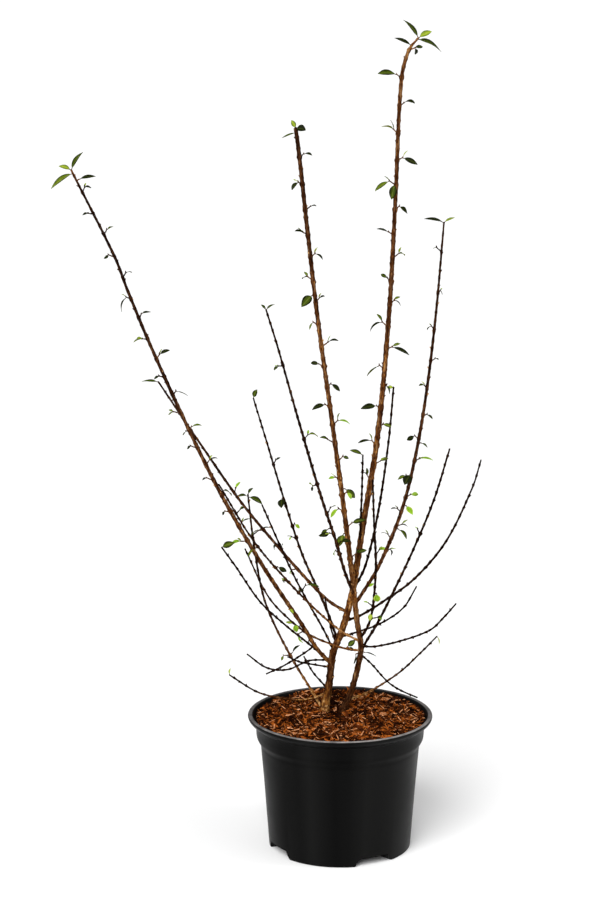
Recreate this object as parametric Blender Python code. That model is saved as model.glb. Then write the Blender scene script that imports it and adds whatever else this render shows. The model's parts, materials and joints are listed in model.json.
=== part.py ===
"""A cotoneaster in a round plastic nursery pot, bare in its lower half and thinly leaved above.

The tables give millimetres; the model is in metres, +Z up, with the origin on the flat underside of the pot
below its axis, and the side that faces the viewer towards -Y. Two stems stand on the compost, boughs fork off
them, and each shoot carries short spurs with one to three leaves.
"""

import math
import random
from dataclasses import dataclass

import bmesh
import bpy
from mathutils import Matrix, Vector
from mathutils.geometry import interpolate_bezier

MM = 0.001
CLEAR = 0.3

# Pot: a 5 litre nursery pot with a rolled lip, a collar below it and four notches in its foot
POT_TOP = 166.6
POT_SIDES = 40
WALL = 2.0
FLOOR = 2.5
FOOT_RADIUS = 87.1
NOTCH_COUNT = 4
NOTCH_FIRST = -150.4
NOTCH_FOOT_HALF_ANGLE = 17.0
NOTCH_ROOF_HALF_ANGLE = 12.4
NOTCH_HEIGHT = 10.2
NOTCH_DEPTH = 30.0
NOTCH_ROOF = 2.2
NOTCH_STEP = 8

# Radius and height round the outside, foot to lip, and then down the inside
POT_OUTSIDE = (
    (FOOT_RADIUS - 1.0, 0.0),
    (FOOT_RADIUS, 1.2),
    (93.5, 86.0),
    (97.2, 128.0),
    (98.7, 131.6),
    (101.4, 136.5),
    (102.4, 140.5),
    (102.9, 146.0),
    (103.3, 154.6),
    (105.8, 156.4),
    (109.3, 158.9),
    (112.0, 161.9),
    (112.8, 164.5),
    (112.2, 166.1),
    (110.2, POT_TOP),
)
POT_INSIDE = (
    (107.7, 166.1),
    (106.6, 164.2),
    (105.4, 160.0),
    (102.2, 156.0),
    (101.2, 150.0),
    (100.4, 141.0),
    (95.1, 129.0),
    (91.5, 86.0),
    (FOOT_RADIUS - WALL, FLOOR),
)

# Compost: filled almost to the lip, flat where the stems stand
COMPOST_FLAT = 161.5
COMPOST_FLAT_RADIUS = 70.0
COMPOST_EDGE = 160.0
COMPOST_GAP = 0.5

# Limbs
STEM_SIDES = 8
BOUGH_SIDES = 6
TWIG_SIDES = 3
THREE_SIDED_SWELL = 1.2
STEM_STEP = 14.0
TWIG_STEP = 28.0
FLARE_HEIGHT = 9.0
SEAT_STEP = 0.05

# Spurs and leaves, angles in degrees from the way the shoot runs
SPUR_LENGTH = (3.5, 7.5)
SPUR_RADIUS = 0.75
SPUR_LEAN = (48, 66)
SPUR_TURN = 50
FIRST_SPUR = 8.0
LAST_SPUR = 12.0
GAP_JITTER = 0.05
MAIN_LEAF_LEAN = (58, 140)
MAIN_LEAF_SIZE = (0.55, 1.5)
SECOND_LEAF_LEAN = (15, 58)
SECOND_LEAF_SHARE = 0.55
SECOND_LEAF_SIZE = (0.4, 0.75)
LEAF_ROLL = 0.8
LEAF_DROOP = (0.1, 0.5)
LEAF_WIDTH = 0.5
LEAF_FOLD = 0.3
LEAF_HALF_THICK = 0.3
LEAF_SINK = 2.4
LEAF_MIDDLE = 0.42
LEAF_OUTLINE = ((0.0, 0.0), (0.24, -0.82), (0.62, -0.86), (1.0, 0.0), (0.62, 0.86), (0.24, 0.82))
STANDING_LEAF_DROOP = 0.14
OWN_LEAF_FACING = 0.5
OWN_LEAF_TURN = 40
OWN_LEAF_ROLL = 0.3
OWN_LEAF_DROOP = (0.08, 0.3)
OWN_SPUR = 2.0
SPACE_BETWEEN = 0.6
BALL_STEP = 4.0
LEAF_BALL = 0.084


@dataclass
class Limb:
    """One limb: where it leaves its parent, the places it passes, and what it carries."""

    name: str
    parent: str
    leaves_at: float
    route: tuple
    radii: tuple
    wood_to: float = 0.0
    leafy_from: float = 0.0
    spur_gaps: tuple = ()
    side: int = 1
    leaf_sizes: tuple = ()
    seed: int = 0
    own_leaves: tuple = ()
    sides: int = TWIG_SIDES
    flare: float = 0.0


# Limb(name, parent, the height where it leaves the parent, the places it passes,
#      its radii at base, middle and tip, what it carries).
# An own leaf is its distance before the limb's tip, its lean to the viewer's left, how far it turns
# towards the viewer, and its length.
LIMBS = (
    Limb(
        "stem_left", "compost", 0,
        ((-20, 25, COMPOST_FLAT), (-13.5, 21, 198), (-9, 16, 238), (0, 13, 262), (9, 11, 293), (16, 10, 326),
         (26, 12, 394), (43.4, 16, 505), (56.2, 20, 650), (63.2, 22, 793), (69, 20, 933), (77.5, 18, 968),
         (88.5, 16, 982)),
        (4.6, 2.95, 2.1), wood_to=440, leafy_from=454, spur_gaps=(22, 34), leaf_sizes=(12, 18),
        seed=4737, own_leaves=((0, 76, 0, 26), (0, -16, 0, 16), (2, -64, 0, 31), (12, 104, 0, 21),
                               (175, 163, 60, 18)),
        sides=BOUGH_SIDES, flare=2.4,
    ),
    Limb(
        "stem_right", "compost", 0,
        ((3, 22, COMPOST_FLAT), (14, 18, 190), (24.5, 9, 238), (24.6, 5, 256), (20, 2, 284), (16, -3, 323),
         (5.4, -13, 413), (-11, -28, 538), (-27.5, -40, 659), (-41, -49, 777), (-49, -54, 852),
         (-53, -56, 883)),
        (3.7, 2.65, 2.4), wood_to=352, leafy_from=364, spur_gaps=(20, 32), side=-1, leaf_sizes=(12, 15),
        seed=106, own_leaves=((0, -95, 30, 12), (0, 18, 0, 10), (5, 100, 0, 17), (195, 109, 50, 20),
                              (436, -132, 20, 16), (492, 139, 40, 17)),
        sides=BOUGH_SIDES, flare=1.9,
    ),
    Limb(
        "bough_left", "stem_left", 224,
        ((-28, 5, 246), (-44, -12, 278), (-94, -42, 365), (-142, -68, 459), (-182.5, -88, 551),
         (-219.4, -104, 641), (-243.6, -113, 705), (-256.4, -118, 742), (-303, -130, 842)),
        (2.4, 2.1, 1.0), wood_to=372, leafy_from=396, spur_gaps=(22, 28), leaf_sizes=(12, 13),
        seed=10607, own_leaves=((0, -50, 0, 23), (0, 38, 0, 14), (4, 92, 0, 30), (13, -98, 0, 18)),
        sides=BOUGH_SIDES,
    ),
    Limb(
        "bough_right", "stem_right", 305,
        ((25.4, 6, 315), (45.2, 22, 344), (71.7, 50, 401), (88, 76, 455), (103.5, 104, 535),
         (116.5, 132, 638), (126.1, 152, 751)),
        (2.1, 1.85, 0.95), wood_to=340, leafy_from=364, spur_gaps=(15, 57), side=-1, leaf_sizes=(15, 8),
        seed=5222, own_leaves=((0, 80, 0, 24), (0, -54, 0, 14), (274, -113, 0, 9), (316, 149, 60, 16),
                               (355, -126, 40, 15), (385, -111, 0, 15)),
        sides=BOUGH_SIDES,
    ),
    Limb(
        "bough_middle", "stem_left", 291,
        ((-13, 16, 303), (-36.3, 30, 322), (-78.5, 58, 363), (-123.8, 84, 412), (-174.6, 108, 480),
         (-227.2, 125, 555)),
        (1.8, 1.55, 0.95), wood_to=330, leafy_from=338, spur_gaps=(26, 188), leaf_sizes=(11, 10), seed=3870,
        own_leaves=((0, 52, 0, 20),),
    ),
    Limb(
        "shoot_front_tall", "stem_right", 314,
        ((4.5, -16, 351), (-5.7, -36, 392), (-24, -70, 457), (-50.2, -118, 560), (-71.4, -152, 645),
         (-84.2, -165, 690)),
        (1.7, 1.4, 0.8), leafy_from=374, spur_gaps=(13, 199), leaf_sizes=(10, 13), seed=11346,
        own_leaves=((0, -63, 0, 11), (0, 20, 0, 8), (313, 122, 0, 15)),
    ),
    Limb(
        "shoot_back_tall", "stem_left", 254,
        ((-15, 30, 284), (-29, 52, 311), (-48.4, 84, 347), (-70.7, 112, 408), (-93.6, 142, 477),
         (-110.4, 160, 528)),
        (1.5, 1.2, 0.8), leafy_from=364, spur_gaps=(16, 172), leaf_sizes=(10, 8), seed=5767,
        own_leaves=((0, -48, 40, 12), (133, 145, 60, 13)),
    ),
    Limb(
        "shoot_knee_short", "stem_left", 250,
        ((-11, 8, 270), (-19, 0, 313)),
        (1.0, 0.9, 0.8),
    ),
    Limb(
        "shoot_knee_left", "stem_left", 241,
        ((-18.4, 8, 266), (-41.6, 0, 311), (-60.2, -10, 351), (-93.9, -30, 435)),
        (1.1, 1.0, 0.8), leafy_from=322, spur_gaps=(70, 90), side=-1, leaf_sizes=(14, 9), seed=476,
    ),
    Limb(
        "shoot_front_left", "stem_right", 256,
        ((3, -3, 270), (-25.4, -24, 300), (-58.9, -50, 342), (-101.8, -92, 406), (-140.3, -125, 481)),
        (1.2, 1.0, 0.8), leafy_from=330, spur_gaps=(22, 90), side=-1, leaf_sizes=(9, 8), seed=4325,
    ),
    Limb(
        "shoot_low_left", "stem_left", 186,
        ((-30, 33, 176), (-55, 42, 170), (-100, 50, 176), (-138, 60, 196)),
        (1.1, 1.0, 0.8), own_leaves=((0, -60, 0, 8),),
    ),
    Limb(
        "shoot_low_back", "shoot_low_left", 174,
        ((-39, 42, 188), (-58, 60, 214), (-82, 80, 255), (-97, 98, 289), (-109, 120, 348), (-117, 138, 409)),
        (1.3, 1.2, 0.9), leafy_from=221, spur_gaps=(160, 160), leaf_sizes=(12, 12), seed=6947,
        own_leaves=((0, -42, 0, 10), (2, 83, 0, 16), (3, -120, 0, 19), (211, -72, 0, 13)),
    ),
    Limb(
        "shoot_cross_left", "stem_right", 244,
        ((11, 2, 247), (-3, 4, 250), (-36, 7, 263), (-63, 16, 281), (-89, 28, 307), (-117, 40, 363)),
        (1.1, 1.0, 0.8), leafy_from=268, spur_gaps=(150, 150), leaf_sizes=(10, 10), seed=3378,
    ),
    Limb(
        "shoot_front_low", "bough_left", 240,
        ((-43, -6, 260), (-68, -30, 288), (-96, -56, 323), (-123, -82, 372), (-139, -95, 399)),
        (1.1, 1.0, 0.9), own_leaves=((0, -76, 30, 18),),
    ),
    Limb(
        "shoot_droop_back", "bough_left", 252,
        ((-42, 10, 241), (-70, 20, 220), (-91, 26, 208)),
        (0.9, 0.9, 0.8),
    ),
    Limb(
        "shoot_droop_front", "bough_left", 230,
        ((-39, -4, 234), (-63, -24, 229), (-88, -44, 237), (-111, -64, 260)),
        (0.9, 0.9, 0.8),
    ),
    Limb(
        "shoot_flat_left", "stem_left", 219,
        ((-27, 24, 220), (-50, 38, 220), (-65, 46, 224)),
        (0.9, 0.9, 0.8),
    ),
    Limb(
        "shoot_foot_back", "stem_left", 190,
        ((-34, 48, 204), (-45.3, 62, 220)),
        (0.9, 0.8, 0.8),
    ),
    Limb(
        "shoot_flat_right", "stem_right", 250,
        ((41, -6, 253), (74.3, -45, 272.4), (106.4, -85, 297.3), (121, -102, 317.2), (134.4, -115, 337.4)),
        (1.0, 0.95, 0.8),
    ),
    Limb(
        "shoot_foot_right", "stem_right", 178,
        ((25, 34, 178), (42, 46, 183), (75, 74, 197), (103, 100, 216), (122, 116, 231)),
        (1.1, 1.0, 0.8), own_leaves=((0, -104, 0, 10),),
    ),
    Limb(
        "shoot_rim_right", "stem_right", 239,
        ((37.3, 16, 225.4), (58.2, 34, 196.6), (74, 46, 182), (96, 58, 168.5)),
        (0.9, 0.8, 0.8),
    ),
    Limb(
        "shoot_back_right", "stem_left", 259,
        ((18, 28, 260.6), (49.4, 54, 265), (78.8, 82, 278), (95.1, 100, 300.3)),
        (1.1, 1.0, 0.8),
    ),
    Limb(
        "shoot_long_right", "stem_left", 280,
        ((25, 24, 284), (51, 40, 296), (91, 66, 319), (131, 94, 360), (164, 118, 423), (175, 130, 456)),
        (1.45, 1.3, 0.8),
    ),
    Limb(
        "shoot_front_right", "stem_right", 242,
        ((32, 5, 257), (43, 0, 277), (60.6, -16, 318), (86.4, -46, 385), (109, -74, 452), (125.6, -98, 518)),
        (1.5, 1.25, 0.9), leafy_from=406, spur_gaps=(150, 150), leaf_sizes=(8, 8), seed=1327,
    ),
    Limb(
        "shoot_front_middle", "stem_right", 260,
        ((32, -4, 275), (37, -11, 292), (40, -22, 316), (42, -42, 365), (39, -68, 426), (37, -90, 479)),
        (1.4, 1.2, 0.9), leafy_from=290, spur_gaps=(20, 600), side=-1, leaf_sizes=(9, 9), seed=8092,
        own_leaves=((165, -170, 40, 12),),
    ),
    Limb(
        "shoot_back_middle", "stem_left", 317,
        ((30.4, 28, 346), (46.4, 66, 406), (59, 104, 486), (65, 126, 549)),
        (1.4, 1.2, 1.0), own_leaves=((0, 100, 30, 9),),
    ),
    Limb(
        "shoot_leader_short", "stem_left", 374,
        ((24, 2, 409), (25, -8, 440), (26, -26, 495)),
        (1.1, 1.0, 0.8), own_leaves=((0, 60, 0, 16),),
    ),
)


def clear_scene():
    for old in list(bpy.data.objects):
        bpy.data.objects.remove(old, do_unlink=True)


def plain_material(name, colour, roughness):
    """A Principled material with one colour, which no part shares with another kind of part."""
    material = bpy.data.materials.new(name)
    material.use_nodes = True
    shader = material.node_tree.nodes["Principled BSDF"]
    shader.inputs["Base Color"].default_value = (*colour, 1.0)
    shader.inputs["Roughness"].default_value = roughness
    shader.inputs["Metallic"].default_value = 0.0
    material.diffuse_color = (*colour, 1.0)
    return material


def object_from(name, points, faces, material):
    """A linked object from points in millimetres."""
    mesh = bpy.data.meshes.new(name)
    mesh.from_pydata([Vector(point) * MM for point in points], [], faces)
    mesh.materials.append(material)
    made = bpy.data.objects.new(name, mesh)
    bpy.context.scene.collection.objects.link(made)
    return made


def turned(name, profile, sides, material):
    """A solid of revolution, from its profile: from the axis at the bottom, out and round, and back to it."""
    points = []
    rings = []
    for radius, height in profile:
        if radius == 0:
            rings.append([len(points)])
            points.append((0, 0, height))
            continue
        rings.append(range(len(points), len(points) + sides))
        for step in range(sides):
            angle = 2 * math.pi * step / sides
            points.append((radius * math.cos(angle), radius * math.sin(angle), height))
    faces = []
    for lower, upper in zip(rings, rings[1:]):
        for step in range(sides):
            after = (step + 1) % sides
            if len(lower) == 1:
                faces.append((lower[0], upper[after], upper[step]))
            elif len(upper) == 1:
                faces.append((lower[step], lower[after], upper[0]))
            else:
                faces.append((lower[step], lower[after], upper[after], upper[step]))
    return object_from(name, points, faces, material)


def sector_block(name, middle, half_angles, inner, outer, heights):
    """A closed block between two radii, with the half-angle and the height of its bottom and of its top."""
    steps = max(2, round(2 * half_angles[0] / NOTCH_STEP))
    points = []
    for half, height in zip(half_angles, heights):
        angles = [math.radians(middle - half + 2 * half * i / steps) for i in range(steps + 1)]
        for radius, around in ((inner, angles), (outer, angles[::-1])):
            points += [(radius * math.cos(a), radius * math.sin(a), height) for a in around]
    count = len(points) // 2
    faces = [tuple(range(count)), tuple(range(2 * count - 1, count - 1, -1))]
    for i in range(count):
        after = (i + 1) % count
        faces.append((i, i + count, after + count))
        faces.append((i, after + count, after))
    return object_from(name, points, faces, None)


def combine(target, others, operation):
    """One Boolean of the target with a collection of closed pieces, applied, with the pieces then removed."""
    pieces = bpy.data.collections.new(target.name + "_pieces")
    for other in others:
        pieces.objects.link(other)
        bpy.context.scene.collection.objects.unlink(other)
    modifier = target.modifiers.new(operation.title(), "BOOLEAN")
    modifier.operation = operation
    modifier.solver = "EXACT"
    modifier.operand_type = "COLLECTION"
    modifier.collection = pieces
    graph = bpy.context.evaluated_depsgraph_get()
    result = bpy.data.meshes.new_from_object(target.evaluated_get(graph))
    target.modifiers.clear()
    target.data = result
    for other in others:
        bpy.data.objects.remove(other, do_unlink=True)
    bpy.data.collections.remove(pieces)


def keep_largest_shell(target):
    """Drops what a union left apart from the main body."""
    shape = bmesh.new()
    shape.from_mesh(target.data)
    waiting = set(shape.verts)
    shells = []
    while waiting:
        front = [waiting.pop()]
        shell = set(front)
        while front:
            for edge in front.pop().link_edges:
                for vert in edge.verts:
                    if vert in waiting:
                        waiting.remove(vert)
                        shell.add(vert)
                        front.append(vert)
        shells.append(shell)
    largest = max(shells, key=len)
    bmesh.ops.delete(shape, geom=[v for v in shape.verts if v not in largest], context="VERTS")
    shape.to_mesh(target.data)
    shape.free()


# Pot and compost
def notch_blocks(name, inner_gap, side_gap, bottom, top):
    """The four blocks of the foot's notches, narrower or wider than the notch by the two gaps."""
    inner = FOOT_RADIUS - NOTCH_DEPTH + inner_gap
    outer = FOOT_RADIUS + NOTCH_DEPTH if inner_gap > 0 else FOOT_RADIUS - WALL / 2
    slant = (NOTCH_FOOT_HALF_ANGLE - NOTCH_ROOF_HALF_ANGLE) / NOTCH_HEIGHT
    spare = math.degrees(side_gap / FOOT_RADIUS)
    half_angles = [NOTCH_FOOT_HALF_ANGLE - slant * height + spare for height in (bottom, top)]
    blocks = []
    for number in range(NOTCH_COUNT):
        middle = NOTCH_FIRST + 360 / NOTCH_COUNT * number
        blocks.append(sector_block(f"{name}_{number}", middle, half_angles, inner, outer, (bottom, top)))
    return blocks


def make_pot(material):
    profile = [(0.0, 0.0), *POT_OUTSIDE, *POT_INSIDE, (0.0, FLOOR)]
    pot = turned("pot", profile, POT_SIDES, material)
    housings = notch_blocks("housing", -NOTCH_ROOF, NOTCH_ROOF, 1.0, NOTCH_HEIGHT + NOTCH_ROOF)
    combine(pot, housings, "UNION")
    cutters = notch_blocks("notch", 0.01, 0.0, -1.0, NOTCH_HEIGHT)
    combine(pot, cutters, "DIFFERENCE")
    pot.data.shade_smooth()
    pot.data.set_sharp_from_angle(angle=math.radians(35))
    return pot


def inside_radius(height):
    """The radius of the pot's inner wall at a height."""
    for (upper, top), (lower, bottom) in zip(POT_INSIDE, POT_INSIDE[1:]):
        if bottom <= height <= top:
            return lower + (upper - lower) * (height - bottom) / (top - bottom)


def make_compost(material):
    levels = [FLOOR + CLEAR]
    levels += [height for _, height in reversed(POT_INSIDE) if FLOOR < height < COMPOST_EDGE]
    wall = [(inside_radius(level) - COMPOST_GAP, level) for level in (*levels, COMPOST_EDGE)]
    profile = [(0.0, levels[0]), *wall, (COMPOST_FLAT_RADIUS, COMPOST_FLAT), (0.0, COMPOST_FLAT)]
    compost = turned("compost", profile, POT_SIDES, material)
    room = NOTCH_ROOF + CLEAR
    combine(compost, notch_blocks("room", -room, room, 0.0, NOTCH_HEIGHT + room), "DIFFERENCE")
    return compost


# Limbs as smooth tapering tubes
def smooth_route(places, step):
    """Points along a smooth curve through the places, a step or less apart."""
    places = [Vector(place) for place in places]
    reach = [(b - a).length for a, b in zip(places, places[1:])]
    slopes = []
    for i in range(len(places)):
        first = max(i - 1, 0)
        last = min(i + 1, len(places) - 1)
        slopes.append((places[last] - places[first]) / sum(reach[first:last]))
    points = []
    for i, length in enumerate(reach):
        count = max(2, math.ceil(length / step) + 1)
        first_handle = places[i] + slopes[i] * length / 3
        last_handle = places[i + 1] - slopes[i + 1] * length / 3
        span = interpolate_bezier(places[i], first_handle, last_handle, places[i + 1], count)
        points += span if not points else span[1:]
    return points


def lengths_along(points):
    along = [0.0]
    for a, b in zip(points, points[1:]):
        along.append(along[-1] + (b - a).length)
    return along


def radius_at(radii, fraction):
    """The quadratic through the base, middle and tip radii."""
    base, middle, tip = radii
    return (
        base * (1 - fraction) * (1 - 2 * fraction)
        + 4 * middle * fraction * (1 - fraction)
        + tip * fraction * (2 * fraction - 1)
    )


def directions_along(points):
    found = []
    for i in range(len(points)):
        ahead = points[min(i + 1, len(points) - 1)] - points[max(i - 1, 0)]
        found.append(ahead.normalized())
    return found


def tube(name, points, radii, sides, material, base_normal=None):
    """A closed tapering tube. Its first ring lies in the plane across base_normal, or across the tube."""
    headings = directions_along(points)
    swell = THREE_SIDED_SWELL if sides == 3 else 1.0
    across = headings[0].orthogonal().normalized()
    ring_points = []
    for i, (point, heading, radius) in enumerate(zip(points, headings, radii)):
        across = (across - heading * across.dot(heading)).normalized()
        other = heading.cross(across)
        for side in range(sides):
            angle = 2 * math.pi * side / sides
            offset = (across * math.cos(angle) + other * math.sin(angle)) * radius * swell
            if i == 0 and base_normal is not None:
                offset -= heading * (offset.dot(base_normal) / heading.dot(base_normal))
            ring_points.append(point + offset)
    faces = [tuple(range(sides - 1, -1, -1))]
    last = len(ring_points) - sides
    faces.append(tuple(range(last, last + sides)))
    for ring in range(len(points) - 1):
        for side in range(sides):
            after = (side + 1) % sides
            a = ring * sides
            b = a + sides
            faces.append((a + side, a + after, b + after, b + side))
    return object_from(name, ring_points, faces, material)


class Course:
    """The middle line and the radius of one limb, measured along its length."""

    def __init__(self, limb, parent, step):
        self.limb = limb
        places = limb.route
        if parent:
            fork = parent.place(parent.distance_at_height(limb.leaves_at))[0]
            places = (fork, *limb.route)
        self.points = smooth_route(places, step)
        self.along = lengths_along(self.points)
        self.length = self.along[-1]

    def radius(self, distance):
        radius = radius_at(self.limb.radii, distance / self.length)
        if self.limb.flare:
            radius += self.limb.flare * math.exp(-distance / FLARE_HEIGHT)
        return radius

    def place(self, distance):
        """The point and the heading at a distance from the base."""
        distance = min(max(distance, 0.0), self.length)
        span = 0
        while span < len(self.along) - 2 and self.along[span + 1] < distance:
            span += 1
        share = (distance - self.along[span]) / (self.along[span + 1] - self.along[span])
        point = self.points[span].lerp(self.points[span + 1], share)
        return point, (self.points[span + 1] - self.points[span]).normalized()

    def distance_at_height(self, height):
        """The distance where the limb first passes a height on its way up or down."""
        for i, (a, b) in enumerate(zip(self.points, self.points[1:])):
            if min(a.z, b.z) <= height <= max(a.z, b.z) and a.z != b.z:
                share = (height - a.z) / (b.z - a.z)
                return self.along[i] + share * (self.along[i + 1] - self.along[i])
        return 0.0

    def nearest(self, point):
        """The nearest point on the middle line, and the radius there."""
        shortest = math.inf
        for along, a, b in zip(self.along, self.points, self.points[1:]):
            share = min(max((point - a).dot(b - a) / (b - a).length_squared, 0.0), 1.0)
            middle = a.lerp(b, share)
            if (point - middle).length < shortest:
                shortest = (point - middle).length
                found = middle, self.radius(along + (middle - a).length)
        return found

    def stretch(self, first, last, step):
        """Evenly spaced points and radii between two distances."""
        count = max(2, math.ceil((last - first) / step) + 1)
        distances = [first + (last - first) * i / (count - 1) for i in range(count)]
        return [self.place(d)[0] for d in distances], [self.radius(d) for d in distances]


class Space:
    """What is already there, as balls, so that a leaf or spur that would touch another limb is skipped."""

    def __init__(self):
        self.balls = []

    def add(self, owner, points, radius):
        self.balls += [(owner, point, radius) for point in points]

    def add_limb(self, owner, course):
        count = math.ceil(course.length / BALL_STEP)
        for i in range(count + 1):
            distance = course.length * i / count
            self.balls.append((owner, course.place(distance)[0], course.radius(distance)))

    def is_free(self, owner, points, radius):
        for other, centre, size in self.balls:
            if other == owner:
                continue
            reach = size + radius + SPACE_BETWEEN
            if any((point - centre).length_squared < reach * reach for point in points):
                return False
        return True


# Leaves: thin folded blades of twelve faces
def leaf_points(root, heading, upper, length, droop):
    """A blade's outline and the two middle points that give it thickness. Its upper face looks to upper."""
    across = heading.cross(upper).normalized()
    face = across.cross(heading).normalized()
    half_width = length * LEAF_WIDTH / 2

    def place(share, side, lift):
        bend = -droop * length * share * share
        fold = abs(side) * half_width * LEAF_FOLD
        return root + heading * (length * share) + across * (side * half_width) + face * (bend + fold + lift)

    points = [place(share, side, 0.0) for share, side in LEAF_OUTLINE]
    points.append(place(LEAF_MIDDLE, 0.0, LEAF_HALF_THICK))
    points.append(place(LEAF_MIDDLE, 0.0, -LEAF_HALF_THICK))
    return points


def leaf_solid(name, points, material):
    """The closed blade: each edge of its outline is joined to the upper and the lower middle point."""
    count = len(LEAF_OUTLINE)
    faces = []
    for i in range(count):
        after = (i + 1) % count
        faces.append((i, after, count))
        faces.append((after, i, count + 1))
    return object_from(name, points, faces, material)


def turned_from(heading, outward, lean):
    """The direction that leans by some degrees from a heading towards the side it faces."""
    return (heading * math.cos(math.radians(lean)) + outward * math.sin(math.radians(lean))).normalized()


def side_of(heading):
    """The way across a limb that lies in the plane the viewer sees."""
    return heading.cross(Vector((0, 1, 0))).normalized()


def shoot_spurs(course, start, dice):
    """Each spur's place, direction and length, on alternate sides and further apart towards the tip."""
    limb = course.limb
    distance = max(course.distance_at_height(limb.leafy_from), start + FIRST_SPUR)
    leafy = course.length - distance
    side = limb.side
    while limb.spur_gaps and distance < course.length - LAST_SPUR:
        heading = course.place(distance)[1]
        turn = Matrix.Rotation(math.radians(dice.uniform(-SPUR_TURN, SPUR_TURN)), 3, heading)
        outward = turn @ (side_of(heading) * side)
        yield distance, heading, outward, dice.uniform(*SPUR_LEAN), dice.uniform(*SPUR_LENGTH)
        low, high = limb.spur_gaps
        share = 1 - (course.length - distance) / leafy
        distance += (low + (high - low) * share) * dice.uniform(1 - GAP_JITTER, 1 + GAP_JITTER)
        side = -side


def spur_leaves(heading, outward, tip, size, dice):
    """The large leaf of a spur, which bends out, and often a small young one that stands up beside it."""
    upper = (heading + Vector([dice.uniform(-LEAF_ROLL, LEAF_ROLL) for _ in range(3)])).normalized()
    lead = turned_from(heading, outward, dice.uniform(*MAIN_LEAF_LEAN))
    length = size * dice.uniform(*MAIN_LEAF_SIZE)
    leaves = [(tip, lead, upper, length, dice.uniform(*LEAF_DROOP))]
    second = dice.random() < SECOND_LEAF_SHARE
    lean = dice.uniform(*SECOND_LEAF_LEAN)
    small = size * dice.uniform(*SECOND_LEAF_SIZE)
    if second:
        young = turned_from(heading, outward, lean)
        leaves.append((tip, young, heading - outward, small, STANDING_LEAF_DROOP))
    return leaves


def own_leaves(course, dice):
    """Where each of the limb's own leaves grows, and the leaf, which looks up and partly to the viewer."""
    for back, lean, turn, length in course.limb.own_leaves:
        place, heading = course.place(course.length - back)
        side = math.copysign(1, lean)
        outward = Matrix.Rotation(math.radians(turn) * side, 3, heading) @ (side_of(heading) * side)
        reach = course.radius(course.length - back) + OWN_SPUR if back > LAST_SPUR else 0.0
        facing = OWN_LEAF_FACING + turn / OWN_LEAF_TURN
        upper = (heading + Vector((dice.uniform(-OWN_LEAF_ROLL, OWN_LEAF_ROLL), -facing, 0.2))).normalized()
        lead = turned_from(heading, outward, abs(lean))
        yield place, (place + outward * reach, lead, upper, length, dice.uniform(*OWN_LEAF_DROOP))


def grow_leaves(course, start, space, dice, material):
    """The spurs and leaves of one mass, as closed solids that overlap its twig."""
    name = course.limb.name
    pieces = []

    def add_spur(point, tip, leaves):
        if not space.is_free(name, [tip], SPUR_RADIUS):
            return
        if tip != point:
            ends = [point, tip]
            radii = [SPUR_RADIUS * 1.15, SPUR_RADIUS]
            pieces.append(tube(name + "_spur", ends, radii, TWIG_SIDES, material))
        for leaf in leaves:
            add_leaf(*leaf)

    def add_leaf(tip, lead, upper, length, droop):
        if abs(lead.dot(upper.normalized())) > 0.95:
            upper = Vector((0.3, -1.0, 0.3))
        points = leaf_points(tip - lead * LEAF_SINK, lead, upper, length + LEAF_SINK, droop)
        edge = points[1 : len(LEAF_OUTLINE)]
        if space.is_free(name, edge, length * LEAF_BALL):
            space.add(name, edge, length * LEAF_BALL)
            pieces.append(leaf_solid(name + "_leaf", points, material))

    for place, leaf in own_leaves(course, dice):
        add_spur(place, leaf[0], [leaf])
    for distance, heading, outward, lean, reach in shoot_spurs(course, start, dice):
        point = course.place(distance)[0]
        radius = course.radius(distance)
        lead = turned_from(heading, outward, lean)
        tip = point + lead * (radius + reach)
        low, high = course.limb.leaf_sizes
        size = low + (high - low) * distance / course.length
        add_spur(point + lead * radius * 0.2, tip, spur_leaves(heading, outward, tip, size, dice))
    return pieces


def way_out(course, parent):
    """How far along a limb it comes clear of its parent, and the direction away from the parent there."""
    distance = 0.0
    while True:
        distance += SEAT_STEP
        point = course.place(distance)[0]
        middle, radius = parent.nearest(point)
        outward = point - middle
        if outward.length >= radius + CLEAR:
            return distance, outward.normalized()


def tube_from_parent(course, parent, last, sides, step, material):
    """The limb's tube, cut off flat where it comes out of its parent."""
    first, outward = way_out(course, parent)
    points, radii = course.stretch(first, last, step)
    return tube(course.limb.name, points, radii, sides, material, outward)


def make_stem(limb, course, last, material):
    """A stem cut off flat where it stands on the compost."""
    points, radii = course.stretch(0.0, last, STEM_STEP)
    points[0] = points[0] + Vector((0, 0, CLEAR))
    tube(limb.name, points, radii, STEM_SIDES, material, Vector((0, 0, 1)))


def make_mass(limb, course, wood_end, parent, space, dice, material):
    """A shoot with its spurs and leaves, from the end of its bough or from its parent."""
    if wood_end:
        points, radii = course.stretch(wood_end + CLEAR, course.length, TWIG_STEP)
        mass = tube("leafy_" + limb.name, points, radii, limb.sides, material)
    else:
        mass = tube_from_parent(course, parent, course.length, limb.sides, TWIG_STEP, material)
    pieces = grow_leaves(course, wood_end, space, dice, material)
    if pieces:
        combine(mass, pieces, "UNION")
        keep_largest_shell(mass)


def make_limbs(bark, foliage):
    courses = {}
    space = Space()
    for limb in LIMBS:
        courses[limb.name] = Course(limb, courses.get(limb.parent), STEM_STEP / 2)
        space.add_limb(limb.name, courses[limb.name])
    for limb in LIMBS:
        course = courses[limb.name]
        parent = courses.get(limb.parent)
        wood_end = course.distance_at_height(limb.wood_to) if limb.wood_to else 0.0
        if parent is None:
            make_stem(limb, course, wood_end, bark)
        elif wood_end:
            tube_from_parent(course, parent, wood_end, BOUGH_SIDES, STEM_STEP, bark)
        make_mass(limb, course, wood_end, parent, space, random.Random(limb.seed), foliage)


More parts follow.
